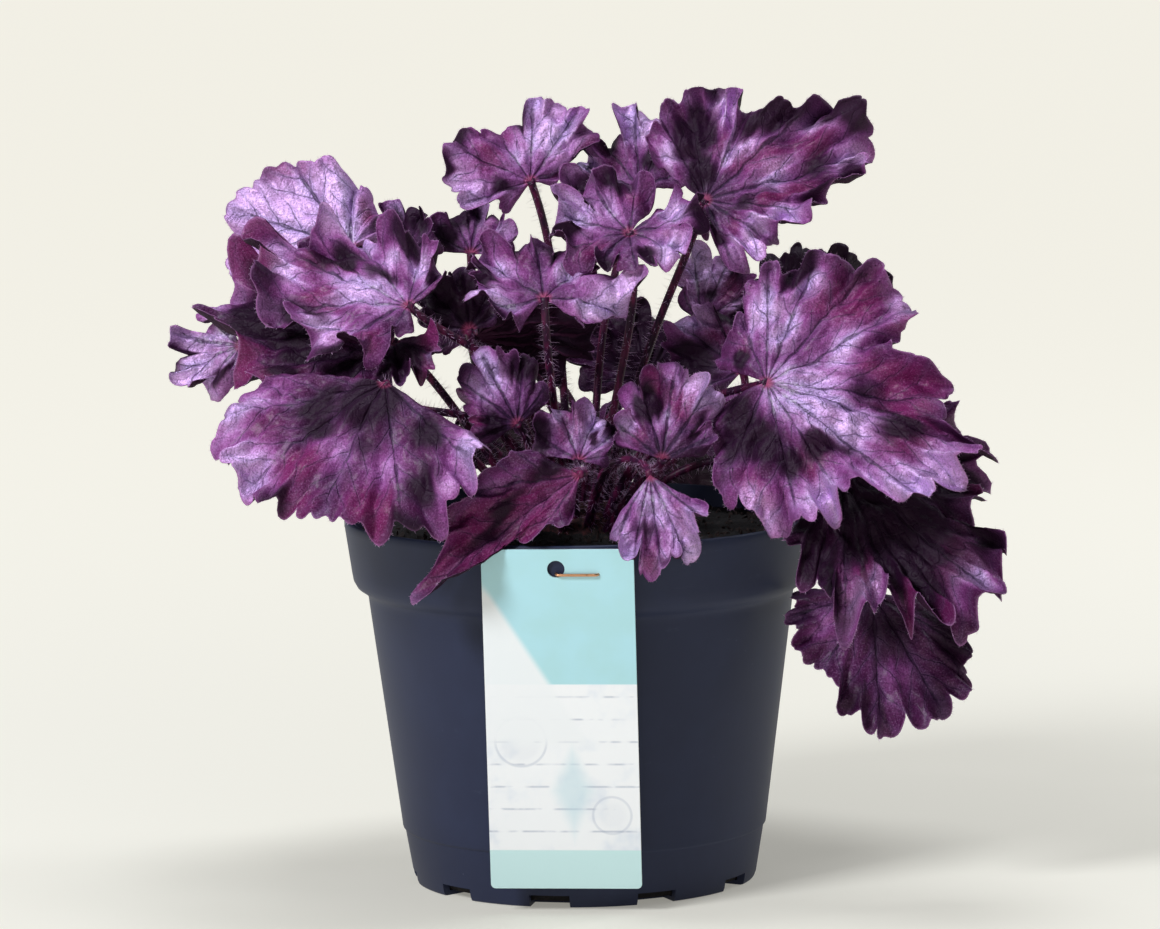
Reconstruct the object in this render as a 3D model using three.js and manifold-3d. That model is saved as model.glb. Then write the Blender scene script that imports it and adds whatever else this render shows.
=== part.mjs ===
// A potted heuchera: ruffled palmate leaves on slender stalks, growing from one
// knobbly crown in a round plastic nursery pot, with a card label stapled to the rim.
// Units are millimetres. +Z is up, and the origin is the middle of the pot's base.

import * as THREE from "three";
import { mergeVertices } from "three/addons/utils/BufferGeometryUtils.js";
import Module from "manifold-3d";

const wasm = await Module();
wasm.setup();

// ---------------------------------------------------------------- driving sizes

const POT_HEIGHT = 118;
const RIM_RADIUS = 75.5;
const BAND_FOOT_RADIUS = 73.4; // where the rim band starts to round inwards
const BAND_FOOT_Z = 101;
const SHOULDER_RADIUS = 68.7; // where the band meets the tapered wall
const SHOULDER_Z = 94.5;
const FOOT_TOP_RADIUS = 58.6;
const FOOT_TOP_Z = 18;
const BASE_RADIUS = 55.2;
const WALL = 1.4;
const POT_SIDES = 44;

const DRAIN_SLOTS = 10;
const DRAIN_SLOT_WIDTH = 13;
const DRAIN_SLOT_HEIGHT = 4;
const DRAIN_SLOT_INNER_RADIUS = 46;
const DRAIN_FIRST_AZIMUTH = -102; // degrees, measured from +X

const SOIL_EDGE_Z = 111;
const SOIL_CENTRE_Z = 113.5;
const SOIL_GAP = 0.35; // between the soil and whatever stands in it

const CROWN_RADIUS = 18;
const CROWN_TOP_Z = 124;
const CROWN_DOME_HEIGHT = 11;
const CROWN_FOOT_Z = 96;
const CROWN_FOOT = [[0, 0], [9, 3], [15, 8]]; // radius, and height over the foot
const CROWN_SIDES = 18;
const CROWN_TILT = 46; // degrees that the dome leans out at its edge

const ROOTS = 4;
const ROOT_RADIUS = 2.2;
const ROOT_REACH = 34;
const ROOT_DEPTH = 52;
const ROOT_SIDES = 5;

const STALK_RADIUS = 1.3;
const STALK_SIDES = 6;
const STALK_STEPS = 6;
const STALK_SOCKET_DEPTH = 4;
const STALK_SOCKET_GAP = 0.35;
const STALK_SPACING = 3; // scale of the spiral in which stalks leave the crown
const GOLDEN_ANGLE = 137.5;
const STALK_RISE = 0.6; // how far a stalk keeps its first direction, of its span
const STALK_ARRIVAL = 0.28; // and how far it holds its last one

const BLADE_THICKNESS = 0.7;

const LABEL_WIDTH = 47.5;
const LABEL_HEIGHT = 110;
const LABEL_THICKNESS = 0.8;
const LABEL_CORNER = 1.5;
const LABEL_TOP_Z = 117.2;
const LABEL_LEAN = 7; // degrees, the slope of the rim band that it lies on
const LABEL_AZIMUTH = -95.4; // degrees from +X, a little left of the front
const LABEL_HOLE_RADIUS = 2.7;
const LABEL_HOLE_BELOW_TOP = 6.3;
const LABEL_HOLE_X = -0.5;

const STAPLE_WIRE = 0.9;
const STAPLE_CROWN = 13.2;
const STAPLE_LEG = 6.5;
const STAPLE_BELOW_TOP = 8;
const STAPLE_HOLE_RADIUS = 0.85;
const STAPLE_BEND = 1.2;
const REST_GAP = 0.3;

// Each leaf. base is where its stalk meets the blade, along is the way its middle lobe points,
// and face the way its upper side looks. Each lobe is its direction from the middle lobe in
// degrees, its reach from the base, and how far its tip stands over the leaf's flat plane.
// ruffle is the height of the waves along the margin. site is the place in the crown's spiral
// that the stalk grows from, and bow pushes the middle of the stalk sideways to pass its
// neighbours.
const LEAVES = {
  left_top: {
    base: [-72, 5, 204], along: [-0.67, 0.49, 0.56], face: [-0.25, -0.85, 0.45],
    lobes: [
      [-70, 29, -8], [-44, 42, -3], [-22, 45, 0], [0, 41, 0], [30, 33, 3], [46, 24, -6], [66, 17, -10],
      [92, 12, -9],
    ],
    ruffle: 1.6, seed: 3, site: 9,
  },
  left_upper: {
    base: [-53, -34, 190], along: [-0.89, 0.42, 0.17], face: [-0.15, -0.62, 0.77],
    lobes: [[-108, 13, -3], [-70, 24, 0], [-38, 36, -1], [-14, 50, 0], [6, 58, 3], [26, 40, 4],
      [48, 30, 5], [82, 22, 3], [118, 16, 5]],
    ruffle: 2.6, seed: 7, site: 4,
  },
  left_middle: {
    base: [-58, -28, 178], along: [-0.89, 0.4, 0.12], face: [-0.2, -0.6, 0.75],
    lobes: [
      [-190, 16, 3], [-166, 19, 1], [-138, 18, 0], [-112, 20, -1], [-85, 27, -4], [-56, 41, -7],
      [-38, 45, -5], [-22, 52, -3], [-8, 66, -1], [3, 72, 0], [14, 62, 2], [30, 48, 0], [55, 26, -2],
    ],
    ruffle: 2.4, seed: 11, site: 25,
  },
  left_outer: {
    base: [-108, 0, 174], along: [-0.84, 0.33, -0.43], face: [-0.5, -0.75, 0.4],
    lobes: [[-52, 9, -4], [-28, 20, -2], [0, 27, 1], [28, 22, 3], [60, 13, 2]],
    ruffle: 1.8, seed: 5, site: 30,
  },
  left_low: {
    base: [-60, -56, 168], along: [-0.5, -0.56, -0.66], face: [-0.1, -0.72, 0.68],
    lobes: [
      [-80, 42, -3], [-61, 50, -6], [-42, 54, -10], [-23, 53, -9], [0, 53, -8], [22, 57, -6],
      [41, 57, -4], [56, 47, -4], [72, 38, -3],
    ],
    ruffle: 1.6, seed: 13, site: 12, bow: [0, -10, -18],
  },
  front_folded: {
    base: [0, -64, 139], along: [-0.8, -0.24, -0.55], face: [-0.05, -0.88, 0.47],
    lobes: [[-34, 20, 4], [-15, 28, 5], [-5, 55, 3], [2, 64, 0], [10, 48, 4], [22, 35, 7], [50, 22, 9]],
    ruffle: 1, seed: 17, site: 28,
  },
  front_small: {
    base: [26, -54, 142], along: [0.1, 0.3, 0.95], face: [0.1, -0.9, 0.4],
    lobes: [[-56, 19, -2], [-22, 27, 2], [3, 31, -2], [29, 28, 3], [60, 18, -2]],
    ruffle: 1.8, seed: 19, site: 10,
  },
  front_hanging: {
    base: [22, -67, 139], along: [0.1, -0.44, -0.89], face: [0, -0.9, 0.44],
    lobes: [[-40, 23, 3], [-17, 29, -2], [1, 32, 0], [18, 31, 3], [36, 23, -2]],
    ruffle: 1.8, seed: 23, site: 23,
  },
  front_centre: {
    base: [0, -43, 141], along: [0.33, 0.57, 0.75], face: [0, -0.8, 0.6],
    lobes: [[-76, 17, 1], [-39, 20, 3], [0, 18, 0], [36, 15, 3], [64, 10, -2]],
    ruffle: 2, seed: 29, site: 15,
  },
  right_big: {
    base: [59, -48, 165], along: [0.94, -0.26, -0.23], face: [-0.12, -0.86, 0.5],
    lobes: [
      [-147, 23, -6], [-105, 38, 4], [-77, 46, 1], [-58, 52, 3], [-46, 52, 4], [-27, 41, 1],
      [-14, 57, -2], [-5, 57, -1], [3, 75, 0], [13, 71, 2], [23, 67, 4], [33, 47, 1], [52, 51, -2],
      [68, 49, -4], [86, 40, -6], [126, 25, -9],
    ],
    ruffle: 1.5, seed: 31, site: 18,
  },
  right_behind: {
    base: [72, 8, 173], along: [0.13, 0.51, 0.85], face: [0.1, -0.85, 0.5],
    lobes: [[-60, 22, 0], [-28, 30, 2], [0, 33, 0], [25, 34, 2], [52, 36, 0]],
    ruffle: 1.4, seed: 37, site: 31,
  },
  right_low: {
    base: [82, -40, 138], along: [0.57, -0.47, -0.68], face: [0.1, -0.78, 0.62],
    lobes: [
      [-78, 42, 2], [-50, 48, -2], [-34, 46, -1], [-17, 65, 2], [-5, 70, 1], [4, 68, 0], [12, 58, -1],
      [20, 48, -2], [29, 58, -3], [40, 50, -4], [52, 42, -3], [64, 35, -2],
    ],
    ruffle: 2, seed: 41, site: 13,
  },
  right_hanging: {
    base: [92, -36, 96], along: [0.17, -0.28, -0.95], face: [0.15, -0.93, 0.3],
    lobes: [
      [-66, 24, -3], [-46, 38, -1], [-34, 44, 0], [-14, 46, 1], [6, 46, 0], [26, 40, 1], [42, 31, 1],
      [60, 32, 2], [80, 29, 0], [98, 26, -2],
    ],
    ruffle: 1.5, seed: 43, site: 26, bow: [0, 8, 26],
  },
  top_right: {
    base: [41, -18, 220], along: [0.95, -0.03, 0.31], face: [-0.2, -0.82, 0.52],
    lobes: [
      [-112, 28, 3], [-90, 33, 5], [-70, 39, 6], [-56, 37, 5], [-43, 31, 4], [-30, 40, 3],
      [-18, 52, 2], [-5, 59, 1], [4, 54, 0], [12, 53, 0], [21, 38, -2], [32, 35, -3], [46, 25, -4],
      [66, 28, -6], [80, 25, -5], [104, 12, -4],
    ],
    ruffle: 2.4, seed: 47, site: 8, bow: [4, 0, -12],
  },
  top_centre: {
    base: [-14, 4, 225], along: [-0.46, 0.45, 0.76], face: [0, -0.85, 0.5],
    lobes: [
      [-100, 13, -3], [-76, 24, -1], [-52, 29, 0], [-30, 28, 3], [0, 21, -2], [40, 29, 2], [62, 29, 1],
      [82, 27, 0], [104, 10, -3],
    ],
    ruffle: 1.4, seed: 53, site: 1, bow: [0, 7, 0],
  },
  top_front: {
    base: [17, -26, 211], along: [-0.85, -0.38, -0.36], face: [-0.05, -0.62, 0.78],
    lobes: [
      [-186, 20, 3], [-158, 25, 3], [-118, 20, -3], [-62, 19, 2], [-24, 17, -3], [8, 24, 3],
      [45, 25, 4], [85, 21, 5], [130, 21, 5],
    ],
    ruffle: 2.4, seed: 59, site: 5, bow: [-10, -8, -16],
  },
  top_back: {
    base: [21, 8, 221], along: [-0.06, 0.57, 0.82], face: [-0.15, -0.8, 0.55],
    lobes: [[-88, 24, 3], [-57, 25, 2], [-27, 23, -2], [0, 29, 2], [28, 28, 3], [66, 20, -3]],
    ruffle: 2.2, seed: 61, site: 3, bow: [-18, 0, -16],
  },
  centre: {
    base: [-10, -38, 192], along: [-0.05, 0.75, 0.66], face: [0, -0.66, 0.75],
    lobes: [
      [-118, 15, -3], [-92, 24, 3], [-48, 29, 0], [-12, 22, 3], [42, 20, -3], [88, 31, 0],
      [112, 19, -4],
    ],
    ruffle: 2.4, seed: 67, site: 7,
    },
  centre_under: {
    base: [-32, -4, 177], along: [0.99, -0.05, -0.1], face: [0.1, 0.75, 0.65],
    lobes: [
      [-60, 17, 2], [-30, 32, 0], [-12, 38, 0], [6, 39, 1], [24, 36, 0], [45, 28, -2], [72, 12, -2],
    ],
    ruffle: 1.8, seed: 71, site: 16, bow: [14, 18, -20],
  },
  back_left: {
    base: [-55, 30, 200], along: [-0.28, 0.67, 0.69], face: [-0.3, -0.75, 0.6],
    lobes: [[-72, 24, -2], [-42, 24, 2], [-18, 20, 2], [6, 19, 0], [40, 15, 3], [85, 12, 0]],
    ruffle: 2, seed: 73, site: 14,
  },
  back_centre: {
    base: [-34, 38, 199], along: [0.15, 0.65, 0.75], face: [0, -0.75, 0.65],
    lobes: [[-68, 16, 1], [-32, 16, 3], [0, 18, 0], [36, 16, 3], [66, 16, 0]],
    ruffle: 1.8, seed: 79, site: 6,
  },
  right_middle: {
    base: [40, 0, 179], along: [0.48, 0.49, 0.73], face: [0.1, -0.85, 0.5],
    lobes: [[-66, 12, 2], [-36, 24, 3], [-6, 25, 0], [26, 22, 2], [62, 15, -2]],
    ruffle: 1.8, seed: 83, site: 0, bow: [0, 14, -10],
  },
  left_inner: {
    base: [-19, -31, 151], along: [-0.72, 0.15, 0.68], face: [-0.1, -0.9, 0.4],
    lobes: [[-62, 15, -2], [-32, 16, -2], [-6, 24, -1], [20, 27, -1], [52, 22, 2], [84, 15, -3]],
    ruffle: 1.8, seed: 89, site: 20,
  },
  inner_dark: {
    base: [-34, -21, 180], along: [-0.25, 0.3, 0.92], face: [0.1, -0.95, 0.3],
    lobes: [[-104, 12, -3], [-66, 16, 2], [-28, 20, -2], [8, 20, 0], [42, 15, -2], [76, 10, 0]],
    ruffle: 1.8, seed: 131, site: 17,
  },
  right_inner: {
    base: [52, -20, 166], along: [-0.53, 0.52, 0.67], face: [-0.2, -0.85, 0.5],
    lobes: [[-82, 18, -2], [-50, 26, 0], [-18, 28, 2], [10, 24, 1], [36, 17, 3]],
    ruffle: 1.6, seed: 97, site: 2, bow: [0, -11, -10],
  },
  back_right: {
    base: [67, 38, 150], along: [0.8, 0.45, -0.35], face: [0.35, 0.25, 0.9],
    lobes: [[-125, 26, -5], [-85, 36, -9], [-45, 40, -7], [0, 44, -6], [44, 41, -9], [86, 34, -6],
      [126, 25, -4]],
    ruffle: 2.2, seed: 101, site: 29,
  },
  back_right_low: {
    base: [39, 70, 132], along: [0.4, 0.75, -0.5], face: [0.25, 0.5, 0.8],
    lobes: [[-120, 24, -4], [-82, 33, -8], [-42, 38, -8], [0, 40, -6], [42, 39, -9], [84, 32, -7],
      [124, 24, -4]],
    ruffle: 2.2, seed: 103, site: 24,
  },
  back_middle: {
    base: [-7, 82, 140], along: [-0.1, 0.85, -0.5], face: [0, 0.5, 0.85],
    lobes: [[-124, 24, -4], [-84, 34, -7], [-43, 39, -9], [0, 42, -6], [43, 38, -7], [84, 33, -9],
      [124, 23, -4]],
    ruffle: 2.2, seed: 107, site: 19,
  },
  back_left_low: {
    base: [-55, 62, 136], along: [-0.6, 0.6, -0.5], face: [-0.3, 0.4, 0.85],
    lobes: [[-124, 24, -5], [-84, 33, -9], [-43, 38, -7], [0, 41, -7], [43, 39, -8], [84, 31, -7],
      [124, 22, -4]],
    ruffle: 2.2, seed: 109, site: 27,
  },
  back_left_outer: {
    base: [-85, 34, 152], along: [-0.85, 0.35, -0.35], face: [-0.35, 0.15, 0.9],
    lobes: [[-120, 22, -4], [-80, 30, -7], [-40, 34, -6], [0, 36, -6], [40, 34, -7], [80, 29, -7],
      [120, 22, -3]],
    ruffle: 2, seed: 113, site: 22,
  },
  back_high: {
    base: [-15, 50, 174], along: [0.1, 0.85, 0.3], face: [0, -0.3, 0.95],
    lobes: [[-122, 22, -3], [-82, 29, -5], [-41, 33, -6], [0, 35, -5], [41, 32, -6], [82, 28, -5],
      [122, 21, -3]],
    ruffle: 2.2, seed: 127, site: 11,
  },
  gap_dark: {
    base: [23, 28, 159], along: [-0.15, 0.35, 0.92], face: [0.1, -0.9, 0.4],
    lobes: [[-90, 22, 2], [-62, 30, -1], [-32, 28, 2], [-4, 24, 1], [24, 20, -1], [52, 14, 2]],
    ruffle: 1.8, seed: 137, site: 21,
  },
};

// ---------------------------------------------------------------- small helpers

const radians = (degrees) => (degrees * Math.PI) / 180;
const vector = (p) => new THREE.Vector3(...p);

// The same draw, from 0 to 1, every time for a seed and a counter.
function draw(seed, counter) {
  const x = Math.sin(seed * 12.9898 + counter * 78.233) * 43758.5453;
  return x - Math.floor(x);
}

// A closed geometry as a solid that can be cut and joined.
function solidFrom(geometry) {
  const bare = geometry.clone();
  bare.deleteAttribute("normal");
  bare.deleteAttribute("uv");
  const merged = mergeVertices(bare, 1e-4);
  return new wasm.Manifold(
    new wasm.Mesh({
      numProp: 3,
      vertProperties: new Float32Array(merged.attributes.position.array),
      triVerts: new Uint32Array(merged.index.array),
    }),
  );
}

function geometryFrom(solid) {
  const { vertProperties, triVerts } = solid.getMesh();
  const geometry = new THREE.BufferGeometry();
  geometry.setAttribute("position", new THREE.BufferAttribute(vertProperties, 3));
  geometry.setIndex(new THREE.BufferAttribute(triVerts, 1));
  geometry.computeVertexNormals();
  return geometry;
}

// A round bar of a few sides along a curve.
function barAlong(curve, radius, sides, steps) {
  const section = new THREE.Shape();
  for (let i = 0; i < sides; i++) {
    const a = (2 * Math.PI * i) / sides;
    const x = radius * Math.cos(a);
    const y = radius * Math.sin(a);
    if (i === 0) section.moveTo(x, y);
    else section.lineTo(x, y);
  }
  section.closePath();
  return new THREE.ExtrudeGeometry(section, { steps, extrudePath: curve, bevelEnabled: false });
}

// A profile of [radius, height] pairs turned round Z.
function turned(profile, sides) {
  const points = profile.map(([r, z]) => new THREE.Vector2(r, z));
  return new THREE.LatheGeometry(points, sides).rotateX(Math.PI / 2);
}

// ---------------------------------------------------------------- leaf blade

const TEETH_PER_LOBE = 3;
const STEPS_PER_LOBE = 6; // one step for each tooth's middle and each gap between teeth
const NOTCH = 0.26; // depth of the gap between lobes, of the reach, when they stand wide apart
const NOTCH_SPACING = 38; // degrees between lobes for the full depth
const TOOTH = 0.07;
const LIFT_POWER = 1.7; // how the blade climbs from the base to a lobe's tip

// A value for each lobe, blended smoothly in between. place runs from 0 to the lobe count, and
// lobe i is centred at i + 0.5.
function blend(values, place, smooth) {
  const x = place - 0.5;
  const last = values.length - 1;
  const i = Math.min(last - 1, Math.max(0, Math.floor(x)));
  let share = x - i;
  if (smooth) {
    const held = Math.min(1, Math.max(0, share));
    share = held * held * (3 - 2 * held);
  }
  return values[i] + (values[i + 1] - values[i]) * share;
}

// Direction, reach and height of the blade's margin at a place along it.
function margin(leaf, place) {
  const count = leaf.lobes.length;
  const lobe = Math.min(count - 1, Math.floor(place));
  const across = place - lobe - 0.5;
  const aims = leaf.lobes.map((l) => l[0]);
  const other = across < 0 ? lobe - 1 : lobe + 1;
  const spacing = other < 0 || other >= count ? NOTCH_SPACING : Math.abs(aims[other] - aims[lobe]);
  const notch = NOTCH * Math.min(1, spacing / NOTCH_SPACING);
  const round = Math.sqrt(Math.max(0, 1 - (2 * across) ** 2));
  const tooth = Math.abs(Math.sin(Math.PI * TEETH_PER_LOBE * (across + 0.5)));
  const reach = blend(leaf.lobes.map((l) => l[1]), place, true);
  return {
    aim: radians(blend(aims, place, false)),
    reach: reach * (1 - notch * (1 - round) + TOOTH * (tooth - 1)),
    lift: blend(leaf.lobes.map((l) => l[2]), place, true),
  };
}

// Height of the margin's waves, as a share of leaf.ruffle.
function wave(leaf, place, out) {
  const turn = 2 * Math.PI * draw(leaf.seed, 1);
  const swells = leaf.lobes.map((l, i) => 0.7 + 0.6 * draw(leaf.seed, 2 + i));
  const swell = blend(swells, place, true);
  const slow = Math.sin(2 * Math.PI * place + turn);
  const quick = Math.sin(2 * Math.PI * 1.5 * place + 2 * turn);
  return out ** 2.5 * (0.8 * slow + 0.6 * swell * quick);
}

// The leaf's own frame: y along the middle lobe, z out of the upper face.
function leafFrame(leaf) {
  const y = vector(leaf.along).normalize();
  const z = vector(leaf.face);
  z.addScaledVector(y, -z.dot(y)).normalize();
  return { base: vector(leaf.base), x: new THREE.Vector3().crossVectors(y, z), y, z };
}

// A point of the blade's middle surface, at a place along the margin and a share of the way out.
function bladePoint(leaf, frame, place, out) {
  const { aim, reach, lift } = margin(leaf, place);
  const height = lift * out ** LIFT_POWER + leaf.ruffle * wave(leaf, place, out);
  return frame.base
    .clone()
    .addScaledVector(frame.x, out * reach * Math.sin(aim))
    .addScaledVector(frame.y, out * reach * Math.cos(aim))
    .addScaledVector(frame.z, height);
}

// The closed blade: its middle surface, thickened half to each side. The margin is the finest
// ring, and the rings inside it take every second column.
function bladeGeometry(leaf, frame) {
  const columns = leaf.lobes.length * STEPS_PER_LOBE;
  const coarse = columns / 2;
  const rings = Math.max(...leaf.lobes.map((l) => l[1])) > 48 ? [0.4, 0.75] : [0.55];
  const step = 1e-3;
  const points = [];
  const clamp = (place) => Math.min(leaf.lobes.length, Math.max(0, place));
  const push = (place, out) => {
    const near = (ds, du) => bladePoint(leaf, frame, clamp(place + ds), out + du);
    const across = near(step, 0).sub(near(-step, 0));
    const outward = near(0, step).sub(near(0, -step));
    const normal = out > 0 ? new THREE.Vector3().crossVectors(across, outward).normalize() : frame.z;
    const half = normal.clone().multiplyScalar(BLADE_THICKNESS / 2);
    points.push([near(0, 0).add(half), near(0, 0).sub(half)]);
  };
  push(leaf.lobes.length / 2, 0);
  for (const out of rings) {
    for (let i = 0; i <= coarse; i++) push((leaf.lobes.length * i) / coarse, out);
  }
  for (let i = 0; i <= columns; i++) push((leaf.lobes.length * i) / columns, 1);
  const at = (ring, i) => 1 + ring * (coarse + 1) + i;
  const last = rings.length - 1;
  const faces = [];
  for (let i = 0; i < coarse; i++) {
    faces.push([0, at(0, i + 1), at(0, i)]);
    for (let r = 0; r < last; r++) {
      faces.push([at(r, i), at(r, i + 1), at(r + 1, i + 1)]);
      faces.push([at(r, i), at(r + 1, i + 1), at(r + 1, i)]);
    }
    const edge = at(last + 1, 0) + 2 * i;
    faces.push([at(last, i), edge + 1, edge]);
    faces.push([at(last, i), at(last, i + 1), edge + 1]);
    faces.push([at(last, i + 1), edge + 2, edge + 1]);
  }
  const position = points.flatMap(([top, bottom]) => [...top.toArray(), ...bottom.toArray()]);
  const index = [];
  const sides = new Map();
  for (const [a, b, c] of faces) {
    index.push(2 * a, 2 * b, 2 * c, 2 * a + 1, 2 * c + 1, 2 * b + 1);
    for (const [p, q] of [[a, b], [b, c], [c, a]]) sides.set(`${p}_${q}`, [p, q]);
  }
  for (const [p, q] of sides.values()) {
    if (sides.has(`${q}_${p}`)) continue;
    index.push(2 * q, 2 * p, 2 * p + 1, 2 * q, 2 * p + 1, 2 * q + 1);
  }
  const geometry = new THREE.BufferGeometry();
  geometry.setAttribute("position", new THREE.Float32BufferAttribute(position, 3));
  geometry.setIndex(index);
  return geometry;
}

// ---------------------------------------------------------------- stalks and crown

// The place on the crown's dome where a stalk grows, and the dome's normal there.
function crownSite(site) {
  const radius = STALK_SPACING * Math.sqrt(site + 0.5);
  const azimuth = radians(site * GOLDEN_ANGLE);
  const share = radius / CROWN_RADIUS;
  const point = new THREE.Vector3(
    radius * Math.cos(azimuth),
    radius * Math.sin(azimuth),
    CROWN_TOP_Z - CROWN_DOME_HEIGHT * share ** 2.4,
  );
  const tilt = radians(CROWN_TILT) * share ** 1.5;
  const out = new THREE.Vector3(
    Math.sin(tilt) * Math.cos(azimuth),
    Math.sin(tilt) * Math.sin(azimuth),
    Math.cos(tilt),
  );
  return { point, out };
}

// The stalk's middle line. deeper moves its foot further down into the crown.
function stalkCurve(leaf, frame, deeper = 0) {
  const { point, out } = crownSite(leaf.site);
  const span = frame.base.distanceTo(point);
  const bow = vector(leaf.bow ?? [0, 0, 0]);
  const arrive = frame.y.clone().multiplyScalar(0.55).addScaledVector(frame.z, 0.75).normalize();
  return new THREE.CubicBezierCurve3(
    point.clone().addScaledVector(out, -STALK_SOCKET_DEPTH - deeper),
    point.clone().addScaledVector(out, STALK_RISE * span),
    frame.base.clone().addScaledVector(arrive, -STALK_ARRIVAL * span).add(bow),
    frame.base.clone(),
  );
}

function makeLeaf(leaf) {
  const frame = leafFrame(leaf);
  const blade = solidFrom(bladeGeometry(leaf, frame));
  const stalk = solidFrom(barAlong(stalkCurve(leaf, frame), STALK_RADIUS, STALK_SIDES, STALK_STEPS));
  return blade.add(stalk);
}

// The hole that a leaf's stalk stands in: the same bar, a little wider and deeper.
function makeSocket(leaf) {
  const curve = stalkCurve(leaf, leafFrame(leaf), STALK_SOCKET_GAP);
  return solidFrom(barAlong(curve, STALK_RADIUS + STALK_SOCKET_GAP, STALK_SIDES, STALK_STEPS));
}

// ---------------------------------------------------------------- pot, soil and crown

const POT_OUTSIDE = [
  [BASE_RADIUS - 1.5, 0],
  [BASE_RADIUS, 1.5],
  [FOOT_TOP_RADIUS - 0.8, FOOT_TOP_Z - 0.6],
  [FOOT_TOP_RADIUS, FOOT_TOP_Z],
  [SHOULDER_RADIUS - 0.5, SHOULDER_Z - 1.8],
  [BAND_FOOT_RADIUS - 2, SHOULDER_Z + 1],
  [BAND_FOOT_RADIUS, BAND_FOOT_Z],
  [RIM_RADIUS, POT_HEIGHT - 1],
  [RIM_RADIUS - 0.4, POT_HEIGHT],
];
const POT_INSIDE = [
  [BASE_RADIUS - 2.6, WALL],
  [SHOULDER_RADIUS - 0.5 - WALL, SHOULDER_Z - 1],
  [BAND_FOOT_RADIUS - WALL, BAND_FOOT_Z + 0.4],
  [RIM_RADIUS - WALL, POT_HEIGHT],
];

function makePot() {
  const profile = [[0, 0], ...POT_OUTSIDE, ...[...POT_INSIDE].reverse(), [0, WALL]];
  let pot = solidFrom(turned(profile, POT_SIDES));
  const inner = DRAIN_SLOT_INNER_RADIUS;
  const length = BASE_RADIUS + 6 - inner;
  for (let i = 0; i < DRAIN_SLOTS; i++) {
    const slot = new THREE.BoxGeometry(length, DRAIN_SLOT_WIDTH, 2 * DRAIN_SLOT_HEIGHT)
      .translate(inner + length / 2, 0, 0)
      .rotateZ(radians(DRAIN_FIRST_AZIMUTH + (360 / DRAIN_SLOTS) * i));
    pot = pot.subtract(solidFrom(slot));
  }
  return pot;
}

// Height of the soil's surface: a low mound with small hollows.
function soilHeight(x, y) {
  const share = Math.min(1, Math.hypot(x, y) / (RIM_RADIUS - WALL));
  const mound = SOIL_EDGE_Z + (SOIL_CENTRE_Z - SOIL_EDGE_Z) * (1 - share ** 2);
  return mound + 0.7 * Math.sin(0.19 * x + 1) * Math.cos(0.16 * y) + 0.4 * Math.sin(0.31 * y + 0.2 * x);
}

function makeSoil() {
  const low = POT_INSIDE.slice(0, 3).map(([r, z]) => [r - SOIL_GAP, z + SOIL_GAP]);
  const edge = RIM_RADIUS - WALL - SOIL_GAP - 1.1;
  const top = [edge, 0.7 * edge, 0.35 * edge].map((r) => [r, SOIL_EDGE_Z]);
  const geometry = turned([[0, WALL + SOIL_GAP], ...low, ...top, [0, SOIL_EDGE_Z]], POT_SIDES);
  const position = geometry.attributes.position;
  for (let i = 0; i < position.count; i++) {
    if (position.getZ(i) < SOIL_EDGE_Z - 1) continue;
    position.setZ(i, soilHeight(position.getX(i), position.getY(i)));
  }
  return solidFrom(geometry);
}

// The woody crown: a knobbly body under the dome that carries the stalks.
function makeCrown(gap) {
  const foot = CROWN_FOOT.map(([r, z]) => [r > 0 ? r + gap : 0, CROWN_FOOT_Z + z - gap]);
  const shares = [1, 0.9, 0.7, 0.45, 0.2, 0];
  const dome = shares.map((share) => [
    share * (CROWN_RADIUS + gap),
    CROWN_TOP_Z + gap - CROWN_DOME_HEIGHT * share ** 2.4,
  ]);
  let crown = solidFrom(turned([...foot, ...dome], CROWN_SIDES));
  for (let i = 0; i < ROOTS; i++) {
    const azimuth = radians((360 * (i + 0.4 * draw(5, i))) / ROOTS);
    const at = (r, z) => new THREE.Vector3(r * Math.cos(azimuth), r * Math.sin(azimuth), z);
    const reach = ROOT_REACH + gap;
    const curve = new THREE.CubicBezierCurve3(
      at(4, CROWN_FOOT_Z + 9),
      at(0.7 * reach, CROWN_FOOT_Z + 4),
      at(0.6 * reach, CROWN_FOOT_Z - 0.5 * ROOT_DEPTH),
      at(reach, CROWN_FOOT_Z - ROOT_DEPTH - gap),
    );
    const radius = ROOT_RADIUS + gap / Math.cos(Math.PI / ROOT_SIDES);
    crown = crown.add(solidFrom(barAlong(curve, radius, ROOT_SIDES, ROOT_SIDES)));
  }
  return crown;
}

// ---------------------------------------------------------------- label and staple

// The label's own frame: x across, z up the card, y into the pot, the origin at its top middle.
function placeLabel(geometry) {
  const azimuth = radians(LABEL_AZIMUTH);
  const distance = RIM_RADIUS + REST_GAP;
  return geometry
    .rotateX(radians(LABEL_LEAN))
    .rotateZ(azimuth + Math.PI / 2)
    .translate(distance * Math.cos(azimuth), distance * Math.sin(azimuth), LABEL_TOP_Z);
}

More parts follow.
